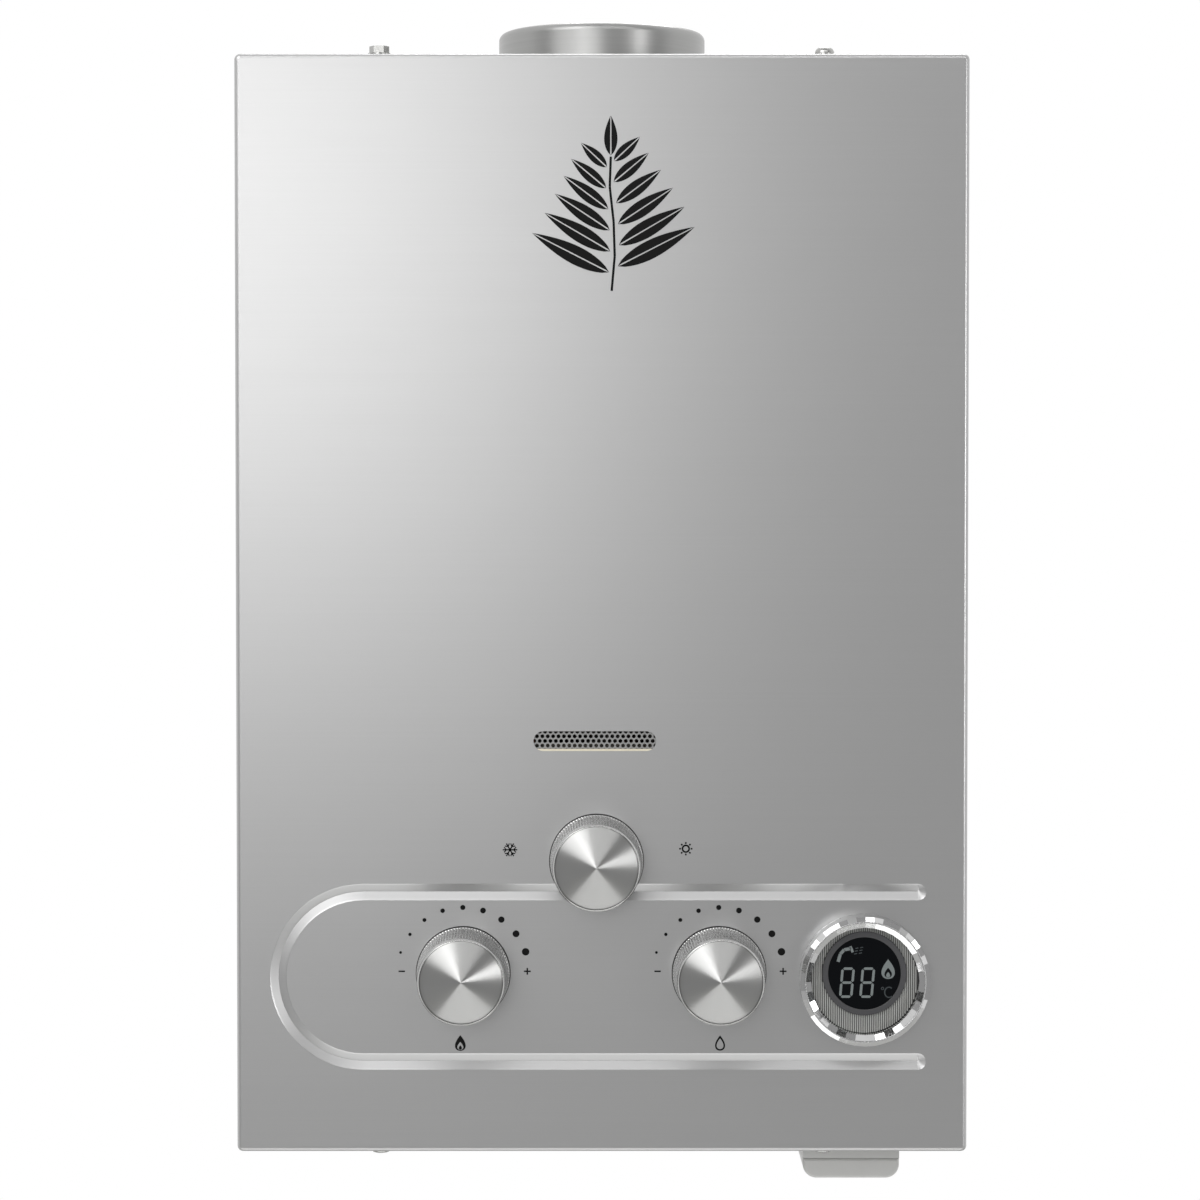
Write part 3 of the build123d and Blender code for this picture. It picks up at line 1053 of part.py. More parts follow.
def make_control(name, x, z, seat_y):
    """Knob skirt, spun face and spindle on one axis, with the spindle seated behind a plane."""
    base_y = FRONT - KNOB_GAP
    face_y = base_y - KNOB_H
    shoulder_y = face_y + KNOB_BEVEL
    face_r = KNOB_FACE_D / 2
    disc_r = face_r - KNOB_BEVEL - DISC_CLEAR
    grip_y = base_y - KNOB_GRIP
    with BuildPart() as skirt:
        taper((x, base_y, z), OUTWARD, KNOB_D / 2, face_r, KNOB_H - KNOB_BEVEL)
        taper((x, shoulder_y, z), OUTWARD, face_r, face_r - KNOB_BEVEL, KNOB_BEVEL)
        bar((x, face_y, z), INWARD, disc_r + DISC_CLEAR, DISC_T, Mode.SUBTRACT)
        cavity_l = KNOB_H - DISC_T - KNOB_WALL
        bar((x, base_y, z), OUTWARD, face_r - KNOB_WALL, cavity_l, Mode.SUBTRACT)
        bar((x, base_y, z), OUTWARD, KNOB_BOSS_R, cavity_l)
        bar((x, base_y, z), OUTWARD, SPINDLE_BORE_R, KNOB_GRIP + SPINDLE_END_GAP, Mode.SUBTRACT)
    finish(skirt, f"{name}_knob_skirt")
    with BuildPart() as disc:
        bar((x, face_y + DISC_T, z), OUTWARD, disc_r, DISC_T - DISC_CROWN / 2)
        taper((x, face_y + DISC_CROWN / 2, z), OUTWARD, disc_r, 0, DISC_CROWN)
    finish(disc, f"{name}_knob_face")
    with BuildPart() as spindle:
        bar((x, grip_y, z), INWARD, SPINDLE_R, seat_y + SPINDLE_SEAT - grip_y)
    finish(spindle, f"{name}_spindle")


make_control("gas", GAS_X, ROW_Z, VALVE_FRONT)
make_control("water", WATER_X, ROW_Z, VALVE_FRONT)
make_control("mode", MODE_X, MODE_Z, MANIFOLD_FRONT)
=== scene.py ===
import math

import bmesh
import bpy
from mathutils import Matrix, Vector


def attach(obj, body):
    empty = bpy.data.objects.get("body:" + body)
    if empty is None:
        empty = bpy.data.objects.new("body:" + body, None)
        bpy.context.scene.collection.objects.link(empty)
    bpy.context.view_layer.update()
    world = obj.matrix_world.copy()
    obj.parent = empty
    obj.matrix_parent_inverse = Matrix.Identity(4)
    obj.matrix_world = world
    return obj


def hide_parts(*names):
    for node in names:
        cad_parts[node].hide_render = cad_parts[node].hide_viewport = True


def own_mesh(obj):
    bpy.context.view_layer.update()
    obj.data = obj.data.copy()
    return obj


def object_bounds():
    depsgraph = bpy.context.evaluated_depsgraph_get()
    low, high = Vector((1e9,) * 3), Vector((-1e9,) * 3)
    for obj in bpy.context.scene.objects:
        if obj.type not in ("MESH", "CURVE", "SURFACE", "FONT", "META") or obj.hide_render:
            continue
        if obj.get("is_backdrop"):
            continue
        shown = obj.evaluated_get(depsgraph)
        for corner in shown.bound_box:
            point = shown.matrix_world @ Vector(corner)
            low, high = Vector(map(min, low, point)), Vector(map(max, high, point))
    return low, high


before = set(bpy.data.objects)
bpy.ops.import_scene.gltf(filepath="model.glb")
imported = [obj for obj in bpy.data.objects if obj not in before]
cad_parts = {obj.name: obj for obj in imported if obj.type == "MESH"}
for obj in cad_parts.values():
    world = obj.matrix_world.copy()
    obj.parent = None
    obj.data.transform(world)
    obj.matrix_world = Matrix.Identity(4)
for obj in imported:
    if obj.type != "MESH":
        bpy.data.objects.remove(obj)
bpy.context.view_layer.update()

MM = 0.001
FRONT = -140.0
ROW_Z = -171.4
MODE_Z = -119.0
GAS_X = -64.52
WATER_X = 54.48
MODE_X = -2.52
DISPLAY_X = 121.73
DISPLAY_Z = -173.7
LENS_Z = -170.7


def srgb(red, green, blue):
    """Linear colour from screen values of 0 to 255."""
    parts = []
    for value in (red, green, blue):
        share = value / 255
        parts.append(share / 12.92 if share <= 0.04045 else ((share + 0.055) / 1.055) ** 2.4)
    return (*parts, 1.0)


def shade(colour, share):
    """The colour made lighter or darker by a share."""
    return (*(min(1.0, part * share) for part in colour[:3]), 1.0)


class Surface:
    """A procedural material with one principled shader and short ways to add nodes."""

    def __init__(self, name, colour, roughness, metallic=0.0, **sockets):
        self.material = bpy.data.materials.new(name)
        self.material.use_nodes = True
        self.tree = self.material.node_tree
        self.shader = self.tree.nodes["Principled BSDF"]
        self.colour = colour
        self.roughness = roughness
        self.set("Base Color", colour)
        self.set("Roughness", roughness)
        self.set("Metallic", metallic)
        for socket, value in sockets.items():
            self.set(socket.replace("_", " "), value)
        self.normal = None

    def set(self, socket, value):
        target = self.shader.inputs[socket]
        if isinstance(value, bpy.types.NodeSocket):
            self.tree.links.new(value, target)
        else:
            target.default_value = value

    def add(self, kind, inputs=None, **settings):
        node = self.tree.nodes.new(kind)
        for key, value in settings.items():
            setattr(node, key, value)
        for socket, value in (inputs or {}).items():
            target = node.inputs[socket]
            if isinstance(value, bpy.types.NodeSocket):
                self.tree.links.new(value, target)
            else:
                target.default_value = value
        return node

    def place(self, scale, source="Object", shift=(0, 0, 0)):
        coordinates = self.add("ShaderNodeTexCoord")
        inputs = {"Vector": coordinates.outputs[source], "Scale": scale, "Location": shift}
        return self.add("ShaderNodeMapping", inputs).outputs["Vector"]

    def noise(self, scale, detail=3.0, source="Object"):
        inputs = {"Vector": self.place(scale, source), "Scale": 1.0, "Detail": detail}
        return self.add("ShaderNodeTexNoise", inputs).outputs["Fac"]

    def remap(self, value, low, high, start=0.25, end=0.75):
        inputs = {"Value": value, "From Min": start, "From Max": end, "To Min": low, "To Max": high}
        return self.add("ShaderNodeMapRange", inputs).outputs["Result"]

    def ramp(self, value, stops):
        node = self.add("ShaderNodeValToRGB", {"Fac": value})
        points = node.color_ramp.elements
        while len(points) < len(stops):
            points.new(0.5)
        for point, (place, colour) in zip(points, stops):
            point.position = place
            point.color = colour
        return node.outputs["Color"]

    def mix(self, share, first, second):
        node = self.add("ShaderNodeMix", data_type="RGBA")
        for socket, value in (("Factor_Float", share), ("A_Color", first), ("B_Color", second)):
            target = next(item for item in node.inputs if item.identifier == socket)
            if isinstance(value, bpy.types.NodeSocket):
                self.tree.links.new(value, target)
            else:
                target.default_value = value
        return next(item for item in node.outputs if item.identifier == "Result_Color")

    def bump(self, height, strength, distance, invert=False):
        inputs = {"Height": height, "Strength": strength, "Distance": distance}
        if self.normal:
            inputs["Normal"] = self.normal
        self.normal = self.add("ShaderNodeBump", inputs, invert=invert).outputs["Normal"]
        self.set("Normal", self.normal)

    def tint(self, value, spread, start=0.3, end=0.7):
        """Vary the base colour by a share either way."""
        stops = [(start, shade(self.colour, 1 - spread)), (end, shade(self.colour, 1 + spread))]
        self.set("Base Color", self.ramp(value, stops))

    def gloss(self, value, spread):
        """Vary the roughness either way."""
        varied = self.remap(value, self.roughness - spread, self.roughness + spread)
        self.set("Roughness", varied)
        return varied


PRESS_NEAR = (0.05, 0.4)
PRESS_FAR = (3.0, 5.0)


def brushed(name, colour, roughness, stretch, axis, anisotropic=0.3, spread=0.03, depth=0.012, bent=None):
    """Brushed metal: long fine streaks and a stretched highlight, duller where the front is pressed or bent."""
    surface = Surface(name, colour, roughness, 1.0, Anisotropic=anisotropic, Anisotropic_Rotation=0.25)
    streaks = surface.noise(stretch, 3.0)
    fine = surface.noise(tuple(part * 2.7 for part in stretch), 1.0)
    surface.tint(streaks, spread)
    shine = surface.gloss(fine, 0.02)
    if bent:
        behind = surface.add("ShaderNodeSeparateXYZ", {"Vector": surface.place((1, 1, 1))}).outputs["Y"]
        near = surface.remap(behind, 0.0, bent, *((FRONT + depth_mm) * MM for depth_mm in PRESS_NEAR))
        far = surface.remap(behind, 1.0, 0.0, *((FRONT + depth_mm) * MM for depth_mm in PRESS_FAR))
        band = surface.add("ShaderNodeMath", {0: near, 1: far}, operation="MULTIPLY").outputs["Value"]
        total = surface.add("ShaderNodeMath", {0: shine, 1: band}, operation="ADD").outputs["Value"]
        surface.set("Roughness", total)
    surface.bump(fine, depth, 0.0002)
    tangent = surface.add("ShaderNodeTangent", direction_type="RADIAL", axis=axis)
    surface.set("Tangent", tangent.outputs["Tangent"])
    return surface.material


def worked_metal(name, colour, roughness, grain, spread=0.08, depth=0.1, stain=None):
    """Cast, plated or drawn metal with fine grain and cloudy tone."""
    surface = Surface(name, colour, roughness, 1.0)
    cloud = surface.noise((28, 28, 28), 4.0)
    if stain:
        stops = [(0.32, shade(colour, 1 - spread)), (0.58, colour), (0.74, stain)]
        surface.set("Base Color", surface.ramp(cloud, stops))
    else:
        surface.tint(cloud, spread)
    speckle = surface.noise((grain, grain, grain), 3.0)
    surface.gloss(speckle, 0.08)
    surface.bump(speckle, depth, 0.0002)
    return surface.material


def galvanised(name, colour, roughness):
    """Zinc-coated sheet with a spangle of small flat crystals."""
    surface = Surface(name, colour, roughness, 1.0)
    bent = surface.place((110, 110, 110))
    cells = surface.add("ShaderNodeTexVoronoi", {"Vector": bent, "Scale": 1.0, "Randomness": 1.0})
    tone = surface.add("ShaderNodeSeparateColor", {"Color": cells.outputs["Color"]}).outputs["Red"]
    surface.tint(tone, 0.07, 0.0, 1.0)
    surface.gloss(tone, 0.05)
    surface.bump(surface.noise((900, 900, 900), 3.0), 0.06, 0.0002)
    return surface.material


def moulded(name, colour, roughness, grain=2600, depth=0.05, **sockets):
    """Moulded plastic or rubber with a fine skin."""
    surface = Surface(name, colour, roughness, 0.0, **sockets)
    surface.tint(surface.noise((40, 40, 40), 3.0), 0.03)
    skin = surface.noise((grain, grain, grain), 2.0)
    surface.gloss(skin, 0.05)
    surface.bump(skin, depth, 0.0002)
    return surface.material


STEEL = srgb(190, 190, 190)
steel_front = brushed("steel_front", STEEL, 0.34, (5, 5, 2600), "Z", 0.3, 0.010, 0.0015)
steel_cover = brushed("steel_cover", STEEL, 0.34, (5, 5, 2600), "Z", 0.3, 0.010, 0.0015, bent=0.13)
steel_flat = brushed("steel_flat", STEEL, 0.38, (5, 2600, 5), "Y", 0.3, 0.010, 0.0015)
collar_steel = brushed("collar_steel", srgb(166, 166, 165), 0.38, (9, 9, 900), "Z", 0.5)
zinc = galvanised("zinc", srgb(168, 170, 171), 0.40)
hood_sheet = worked_metal("hood_sheet", srgb(138, 139, 141), 0.45, 700, 0.10)
screw_steel = worked_metal("screw_steel", srgb(176, 176, 174), 0.28, 1500, 0.06)
copper = worked_metal("copper", srgb(196, 126, 96), 0.32, 900, 0.10, stain=srgb(150, 92, 74))
brass = worked_metal("brass", srgb(206, 172, 104), 0.26, 1400, 0.08)
cast_alloy = worked_metal("cast_alloy", srgb(150, 150, 149), 0.5, 1100, 0.07, 0.25)
burner_steel = worked_metal("burner_steel", srgb(132, 128, 122), 0.42, 900, 0.12, stain=srgb(118, 100, 84))
spindle_steel = worked_metal("spindle_steel", srgb(150, 150, 150), 0.3, 1500, 0.05)
mesh_dark = worked_metal("mesh_dark", srgb(164, 164, 163), 0.42, 1500, 0.12)
knob_silver = worked_metal("knob_silver", srgb(190, 190, 189), 0.22, 2200, 0.04, 0.04)
bezel_chrome = worked_metal("bezel_chrome", srgb(206, 206, 206), 0.07, 1500, 0.02, 0.02)
bezel_satin = worked_metal("bezel_satin", srgb(228, 228, 228), 0.24, 1500, 0.02, 0.02)
dial_grey = moulded("dial_grey", srgb(182, 183, 180), 0.36)
dial_gap = moulded("dial_gap", srgb(70, 70, 70), 0.5)
ring_grey = moulded("ring_grey", srgb(78, 78, 80), 0.45, Specular_IOR_Level=0.3)
lens_black = moulded("lens_black", srgb(9, 11, 14), 0.08, 1200, 0.005, Specular_IOR_Level=0.1)
display_shell = moulded("display_shell", srgb(38, 38, 39), 0.55)
battery_grey = moulded("battery_grey", srgb(198, 198, 196), 0.34)
cell_jacket = worked_metal("cell_jacket", srgb(84, 92, 104), 0.38, 1200, 0.05)
rubber_black = moulded("rubber_black", srgb(36, 36, 36), 0.7, 1400, 0.15)
ceramic_white = moulded("ceramic_white", srgb(232, 228, 216), 0.25)
lead_silicone = moulded("lead_silicone", srgb(204, 202, 196), 0.6)
control_white = moulded("control_white", srgb(224, 223, 218), 0.45)
switch_black = moulded("switch_black", srgb(34, 34, 35), 0.5)
plunger_red = moulded("plunger_red", srgb(168, 48, 38), 0.45)
solenoid_black = moulded("solenoid_black", srgb(44, 44, 46), 0.5)
print_black = moulded("print_black", srgb(16, 16, 16), 0.5, 900, 0.04, Specular_IOR_Level=0.12)
segment_grey = moulded("segment_grey", srgb(124, 131, 131), 0.3, 1500, 0.02)
# Pale cream for the slot's lower edge: painted highlight
slot_highlight = moulded("slot_highlight", srgb(238, 230, 208), 0.45)
segment_faint = moulded("segment_faint", srgb(58, 64, 66), 0.3, 1500, 0.02)

NODE_FINISH = {
    steel_cover: ("front_cover",),
    steel_front: ("left_side", "right_side"),
    steel_flat: ("top_panel", "bottom_panel"),
    collar_steel: ("flue_collar",),
    zinc: ("back_plate", "support_brackets", "valve_bracket"),
    hood_sheet: ("exhaust_hood",),
    screw_steel: ("cover_screws_top", "cover_screws_bottom", "collar_screws"),
    copper: ("combustion_shell", "heat_fins", "exchanger_tube", "cold_feed_pipe", "hot_pipe"),
    brass: ("injector_jets", "rod_gland", "push_rod", "drain_plug", "gas_inlet", "cold_inlet",
            "hot_outlet"),
    cast_alloy: ("gas_manifold", "segment_valve", "gas_valve_body", "water_valve_body", "diaphragm_housing",
                 "diaphragm_cover"),
    burner_steel: ("burner_rack", "burner_bars"),
    spindle_steel: ("gas_spindle", "water_spindle", "mode_spindle", "battery_hinge_pin", "plug_spring"),
    mesh_dark: ("sight_mesh",),
    knob_silver: ("gas_knob_skirt", "water_knob_skirt", "mode_knob_skirt", "gas_knob_face",
                  "water_knob_face", "mode_knob_face"),
    bezel_chrome: ("display_bezel",),
    dial_gap: ("display_dial",),
    lens_black: ("display_lens",),
    display_shell: ("display_housing",),
    battery_grey: ("battery_box", "battery_lid"),
    cell_jacket: ("battery_cells",),
    rubber_black: ("diaphragm",),
    ceramic_white: ("electrodes",),
    lead_silicone: ("electrode_leads",),
    control_white: ("control_box",),
    switch_black: ("microswitch",),
    plunger_red: ("switch_plunger",),
    solenoid_black: ("gas_solenoid",),
}
for finish, names in NODE_FINISH.items():
    for node_name in names:
        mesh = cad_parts[node_name].data
        mesh.materials.clear()
        mesh.materials.append(finish)


def piece(name, points, faces, finish, body, sharp=35.0):
    """A mesh piece from points in millimetres, shaded smooth up to an angle, riding on a body."""
    mesh = bpy.data.meshes.new(name)
    mesh.from_pydata([Vector(point) * MM for point in points], [], faces)
    shape = bmesh.new()
    shape.from_mesh(mesh)
    bmesh.ops.remove_doubles(shape, verts=shape.verts, dist=1e-7)
    bmesh.ops.recalc_face_normals(shape, faces=shape.faces)
    shape.to_mesh(mesh)
    shape.free()
    mesh.materials.append(finish)
    for polygon in mesh.polygons:
        polygon.use_smooth = True
    mesh.set_sharp_from_angle(angle=math.radians(sharp))
    shown = bpy.data.objects.new(name, mesh)
    bpy.context.collection.objects.link(shown)
    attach(shown, body)
    return shown


class Build:
    """Points and faces gathered from several simple forms."""

    def __init__(self):
        self.points = []
        self.faces = []

    def strip(self, rings, closed_round=True, closed_along=False):
        """Quads between rings that all have the same number of points."""
        start = len(self.points)
        count = len(rings[0])
        for ring in rings:
            self.points += ring
        pairs = list(range(len(rings) - 1))
        if closed_along:
            pairs.append(len(rings) - 1)
        for i in pairs:
            j = (i + 1) % len(rings)
            for k in range(count if closed_round else count - 1):
                m = (k + 1) % count
                near, far = start + i * count, start + j * count
                self.faces.append((near + k, near + m, far + m, far + k))

    def cap(self, ring):
        start = len(self.points)
        self.points += ring
        self.faces.append(tuple(range(start, start + len(ring))))

    def plate(self, outline, back, front, at=(0.0, 0.0)):
        """A thin plate facing the front, from an outline in x and z."""
        near = [(x + at[0], front, z + at[1]) for x, z in outline]
        far = [(x + at[0], back, z + at[1]) for x, z in outline]
        self.strip([far, near])
        self.cap(near)
        self.cap(far)

    def ring_plate(self, inner, outer, back, front, at=(0.0, 0.0)):
        """A plate between two outlines with the same number of points."""
        rings = []
        for outline, depth in ((inner, back), (inner, front), (outer, front), (outer, back)):
            rings.append([(x + at[0], depth, z + at[1]) for x, z in outline])
        self.strip(rings, closed_along=True)


def circle(radius, count, turn=0.0):
    """Outline of a circle in x and z."""
    steps = [turn + 2 * math.pi * i / count for i in range(count)]
    return [(radius * math.cos(step), radius * math.sin(step)) for step in steps]


def rotated(outline, degrees):
    """The outline turned about its origin."""
    turn = Matrix.Rotation(math.radians(degrees), 2)
    return [tuple(turn @ Vector(point)) for point in outline]


def stroke(start, end, width):
    """Outline of a straight bar between two points."""
    first, last = Vector(start), Vector(end)
    side = (last - first).orthogonal().normalized() * (width / 2)
    return [tuple(first + side), tuple(first - side), tuple(last - side), tuple(last + side)]


def lathe_y(x, z, profile, count, ribs=0, twist=0.0):
    """Rings about a front-to-back axis from (radius, y, rib depth) places."""
    rings = []
    for radius, y, depth in profile:
        ring = []
        for i in range(count):
            angle = 2 * math.pi * i / count + twist
            wave = abs((angle * ribs / (2 * math.pi)) % 1.0 - 0.5) * 2 if ribs else 0.0
            reach = radius - depth * wave
            ring.append((x + reach * math.cos(angle), y, z + reach * math.sin(angle)))
        rings.append(ring)
    return rings


def lathe_z(x, y, profile, count, ribs=0):
    """Rings about an upright axis from (radius, z, rib depth) places."""
    rings = []
    for radius, z, depth in profile:
        ring = []
        for i in range(count):
            angle = 2 * math.pi * i / count
            wave = abs((angle * ribs / (2 * math.pi)) % 1.0 - 0.5) * 2 if ribs else 0.0
            reach = radius - depth * wave
            ring.append((x + reach * math.cos(angle), y + reach * math.sin(angle), z))
        rings.append(ring)
    return rings


KNOB_BASE = -141.0
KNOB_FACE = -166.0
KNOB_RIBS = 96
SKIRT_PROFILE = [
    (18.6, KNOB_BASE, 0), (21.3, KNOB_BASE, 0), (21.65, -141.35, 0), (21.68, -141.9, 0),
    (21.66, -142.2, 0.62), (20.3, -163.4, 0.62), (20.22, -163.9, 0), (20.1, -165.1, 0),
    (19.9, -165.42, 0), (19.32, -165.94, 0), (19.2, KNOB_FACE, 0), (19.2, -164.8, 0), (7.0, -164.8, 0),
]
SKIRT_INSIDE = [
    (18.6, KNOB_BASE, 0), (17.2, -141.4, 0), (17.2, -161.6, 0), (7.0, -161.6, 0), (7.0, -141.3, 0),
    (4.2, KNOB_BASE, 0), (4.2, -155.0, 0),
]
CROWN_R = 18.95
CROWN_EDGE = -165.76
CROWN_RISE = 0.46
CROWN_STEPS = 10
CROWN_PROFILE = [(19.12, -164.85, 0), (19.12, -165.6, 0), (CROWN_R, CROWN_EDGE, 0)]
CROWN_PROFILE += [(CROWN_R * (1 - i / CROWN_STEPS), CROWN_EDGE - CROWN_RISE * i / CROWN_STEPS, 0)
                  for i in range(1, CROWN_STEPS)]
CROWN_PROFILE.append((0.35, -166.23, 0))


def spun_face():
    """Turned face of a knob: fine rings and a highlight that fans out from the middle."""
    surface = Surface("spun_face", srgb(166, 166, 165), 0.30, 1.0, Anisotropic=0.75,
                      Anisotropic_Rotation=0.25)
    rings = surface.add("ShaderNodeTexWave", {
        "Vector": surface.place((1, 1, 1), "Generated", (-0.5, -0.5, -0.5)),
        "Scale": 26.0,
        "Distortion": 0.6,
        "Detail": 2.0,
    }, wave_type="RINGS", rings_direction="Y")
    surface.tint(rings.outputs["Fac"], 0.03, 0.1, 0.9)
    surface.bump(rings.outputs["Fac"], 0.05, 0.0001)
    middle = surface.place((1, 0, 1), "Generated", (-0.5, 0, -0.5))
    radius = surface.add("ShaderNodeVectorMath", {"Vector": middle}, operation="LENGTH")
    surface.bump(radius.outputs["Value"], 1.0, 0.020, True)
    tangent = surface.add("ShaderNodeTangent", direction_type="RADIAL", axis="Y")
    surface.set("Tangent", tangent.outputs["Tangent"])
    return surface.material


spun = spun_face()


def knob(name, x, z, body):
    """Ribbed skirt with a bright bevel, and the spun face set into it."""
    skirt = Build()
    skirt.strip(lathe_y(x, z, SKIRT_PROFILE, 5 * KNOB_RIBS, KNOB_RIBS))
    skirt.strip(lathe_y(x, z, SKIRT_INSIDE, 64))
    shown = piece(f"{name}_knob_grip", skirt.points, skirt.faces, knob_silver, body, 28)
    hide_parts(f"{name}_knob_skirt")
    disc = Build()
    rings = lathe_y(x, z, CROWN_PROFILE, 128)
    disc.strip(rings)
    disc.cap(rings[-1])
    shown = piece(f"{name}_knob_disc", disc.points, disc.faces, spun, body, 40)
    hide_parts(f"{name}_knob_face")


knob("gas", GAS_X, ROW_Z, "gas_control")
knob("water", WATER_X, ROW_Z, "water_control")
knob("mode", MODE_X, MODE_Z, "mode_control")

# Temperature display: faceted bezel, ribbed dial with a raised ring, lens with its segments


def facet_ring(count, edge_r, ridge, foot, tilts):
    """Flat facets from a ridge to an edge, each with its own tilt, and a wall from that edge to a foot."""
    facets = Build()
    ridge_r, ridge_h = ridge
    for i in range(count):
        drop = abs(edge_r - ridge_r) * math.tan(math.radians(tilts[i]))
        for radius, proud in ((edge_r, foot), (edge_r, ridge_h - drop), (ridge_r, ridge_h)):
            for k in (i, i + 1):
                turn = 2 * math.pi * k / count
                place = (DISPLAY_X + radius * math.cos(turn), DISPLAY_Z + radius * math.sin(turn))
                facets.points.append((place[0], FRONT - proud, place[1]))
        base, following = 6 * i, 6 * ((i + 1) % count)
        facets.faces += [(base, base + 1, base + 3, base + 2), (base + 2, base + 3, base + 5, base + 4)]
        if tilts[i] != tilts[(i + 1) % count]:
            facets.faces.append((base + 3, following + 2, base + 5))
    return facets


def facet_tilts(count, plain_from, plain_to, plain, cut):
    """One tilt for the facets within a range of degrees, and a row of others, in turn, for the rest."""
    tilts = []
    for i in range(count):
        angle = 360 * (i + 0.5) / count
        tilts.append(plain if plain_from < angle < plain_to else cut[i % len(cut)])
    return tilts


def turned_ring(build, profile):
    """A smooth ring about the display, from radius and height above the cover."""
    build.strip(lathe_y(DISPLAY_X, DISPLAY_Z, [(r, FRONT - h, 0) for r, h in profile], 160))


bezel = Build()
turned_ring(bezel, [(25.0, 5.6), (25.2, 5.2), (25.2, 0.0), (25.2, -0.95), (26.55, -0.95), (26.6, -0.1),
                    (26.6, 0.05), (30.1, 0.05)])
lip = Build()
turned_ring(lip, [(28.05, 11.1), (28.02, 11.45), (27.9, 11.62), (27.7, 11.66), (27.5, 11.6),
                  (27.4, 11.4), (27.4, 11.1)])
piece("bezel_lip", lip.points, lip.faces, bezel_satin, "casing", 40)
bezel_body = piece("bezel_wall", bezel.points, bezel.faces, bezel_chrome, "casing", 30)
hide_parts("display_bezel")
OUTER_FACETS = 44
INNER_FACETS = 36
outer_tilts = facet_tilts(OUTER_FACETS, 188, 335, 35, (25, 25, 47, 31, 22, 52, 38))
inner_tilts = facet_tilts(INNER_FACETS, 22, 160, 35, (24, 46, 46, 30, 52))
for label, facets in (
    ("bezel_facets_outer", facet_ring(OUTER_FACETS, 30.1, (28.0, 11.3), 0.05, outer_tilts)),
    ("bezel_facets_inner", facet_ring(INNER_FACETS, 25.0, (27.45, 11.3), 5.6, inner_tilts)),
):
    piece(label, facets.points, facets.faces, bezel_chrome, "casing", 1)

DIAL_FRONT = -143.6
DIAL_R = 24.75
DIAL_HOLE_R = 19.45
RIB_PITCH = 1.0
RIB_SIDE_COUNT = 24
SHORTEST_RIB = 0.4
RIB_SHAPE = ((-0.33, 0.0), (-0.28, 0.24), (-0.12, 0.38), (0.12, 0.38), (0.28, 0.24), (0.33, 0.0))
ribs = Build()
for i in range(-RIB_SIDE_COUNT, RIB_SIDE_COUNT + 1):
    rib_x = i * RIB_PITCH
    reach = math.sqrt(DIAL_R ** 2 - rib_x ** 2)
    spans = [(-reach, reach)]
    hole = DIAL_HOLE_R ** 2 - rib_x ** 2
    if hole > 0:
        gap = math.sqrt(hole)
        offset = LENS_Z - DISPLAY_Z
        spans = [(-reach, offset - gap), (offset + gap, reach)]
    for low, high in spans:
        if high - low < SHORTEST_RIB:
            continue
        ends = []
        for z in (low, high):
            ends.append([(DISPLAY_X + rib_x + u, DIAL_FRONT - v, DISPLAY_Z + z) for u, v in RIB_SHAPE])
        ribs.strip(ends)
        ribs.cap(ends[0])
        ribs.cap(ends[1])
piece("dial_ribs", ribs.points, ribs.faces, dial_grey, "casing", 50)

ring = Build()
ring_profile = [(19.5, DIAL_FRONT), (19.5, -144.7), (19.3, -144.95), (17.2, -144.95), (16.9, -144.75),
                (16.9, DIAL_FRONT)]
ring.strip(lathe_y(DISPLAY_X, LENS_Z, [(r, y, 0) for r, y in ring_profile], 128))
piece("dial_ring", ring.points, ring.faces, ring_grey, "casing", 30)

LENS_FRONT = -144.6
SEGMENT_BACK = LENS_FRONT + 0.01
SEGMENT_FRONT = LENS_FRONT - 0.04
SLANT = 0.085
DIGIT_W = 6.3
DIGIT_H = 14.2
DIGIT_PLACES = (-8.1, 1.3)
DIGIT_DROP = 4.3
SEGMENT_T = 1.15
SEGMENT_GAP = 0.26


def slanted(outline, at):
    """Outline of a display segment, leaning to the right."""
    return [(x + at[0] + (z + at[1]) * SLANT, z + at[1]) for x, z in outline]


def lying(length):
    """Six-sided lying segment about its middle."""
    half, thick = length / 2 - SEGMENT_GAP, SEGMENT_T / 2
    return [(-half, 0), (-half + thick, thick), (half - thick, thick), (half, 0), (half - thick, -thick),
            (-half + thick, -thick)]


def standing(length):
    """Six-sided standing segment about its middle."""
    return [(z, x) for x, z in lying(length)]


digits = Build()
span_w = DIGIT_W - SEGMENT_T
span_h = (DIGIT_H - SEGMENT_T) / 2
for digit_x in DIGIT_PLACES:
    shapes = [(lying(span_w), (0, row * span_h)) for row in (-1, 0, 1)]
    shapes += [(standing(span_h), (side * span_w / 2, row * span_h / 2))
               for side in (-1, 1) for row in (-1, 1)]
    for outline, at in shapes:
        digits.plate(slanted(outline, at), SEGMENT_BACK, SEGMENT_FRONT,
                     (DISPLAY_X + digit_x, LENS_Z - DIGIT_DROP))


def droplet(width, height, lean=0.0, count=28):
    """Outline of a drop or flame with its tip up."""
    outline = []
    for i in range(count):
        turn = 2 * math.pi * i / count
        rise = 0.5 - 0.5 * math.cos(turn)
        girth = math.sin(turn) * (1 - rise) ** 0.55 * 1.25
        outline.append((width / 2 * girth + lean * rise ** 2, height * (rise - 0.5)))
    return outline


def flame(build, back, front, at, size):
    """A plain flame: an outer tongue with an open core."""
    outer = droplet(size * 0.72, size)
    inner = [(x * 0.56, z * 0.50 - size * 0.18) for x, z in outer]
    build.ring_plate(inner, outer, back, front, at)
    core = [(x * 0.30, z * 0.27 - size * 0.28) for x, z in outer]
    build.plate(core, back, front, at)


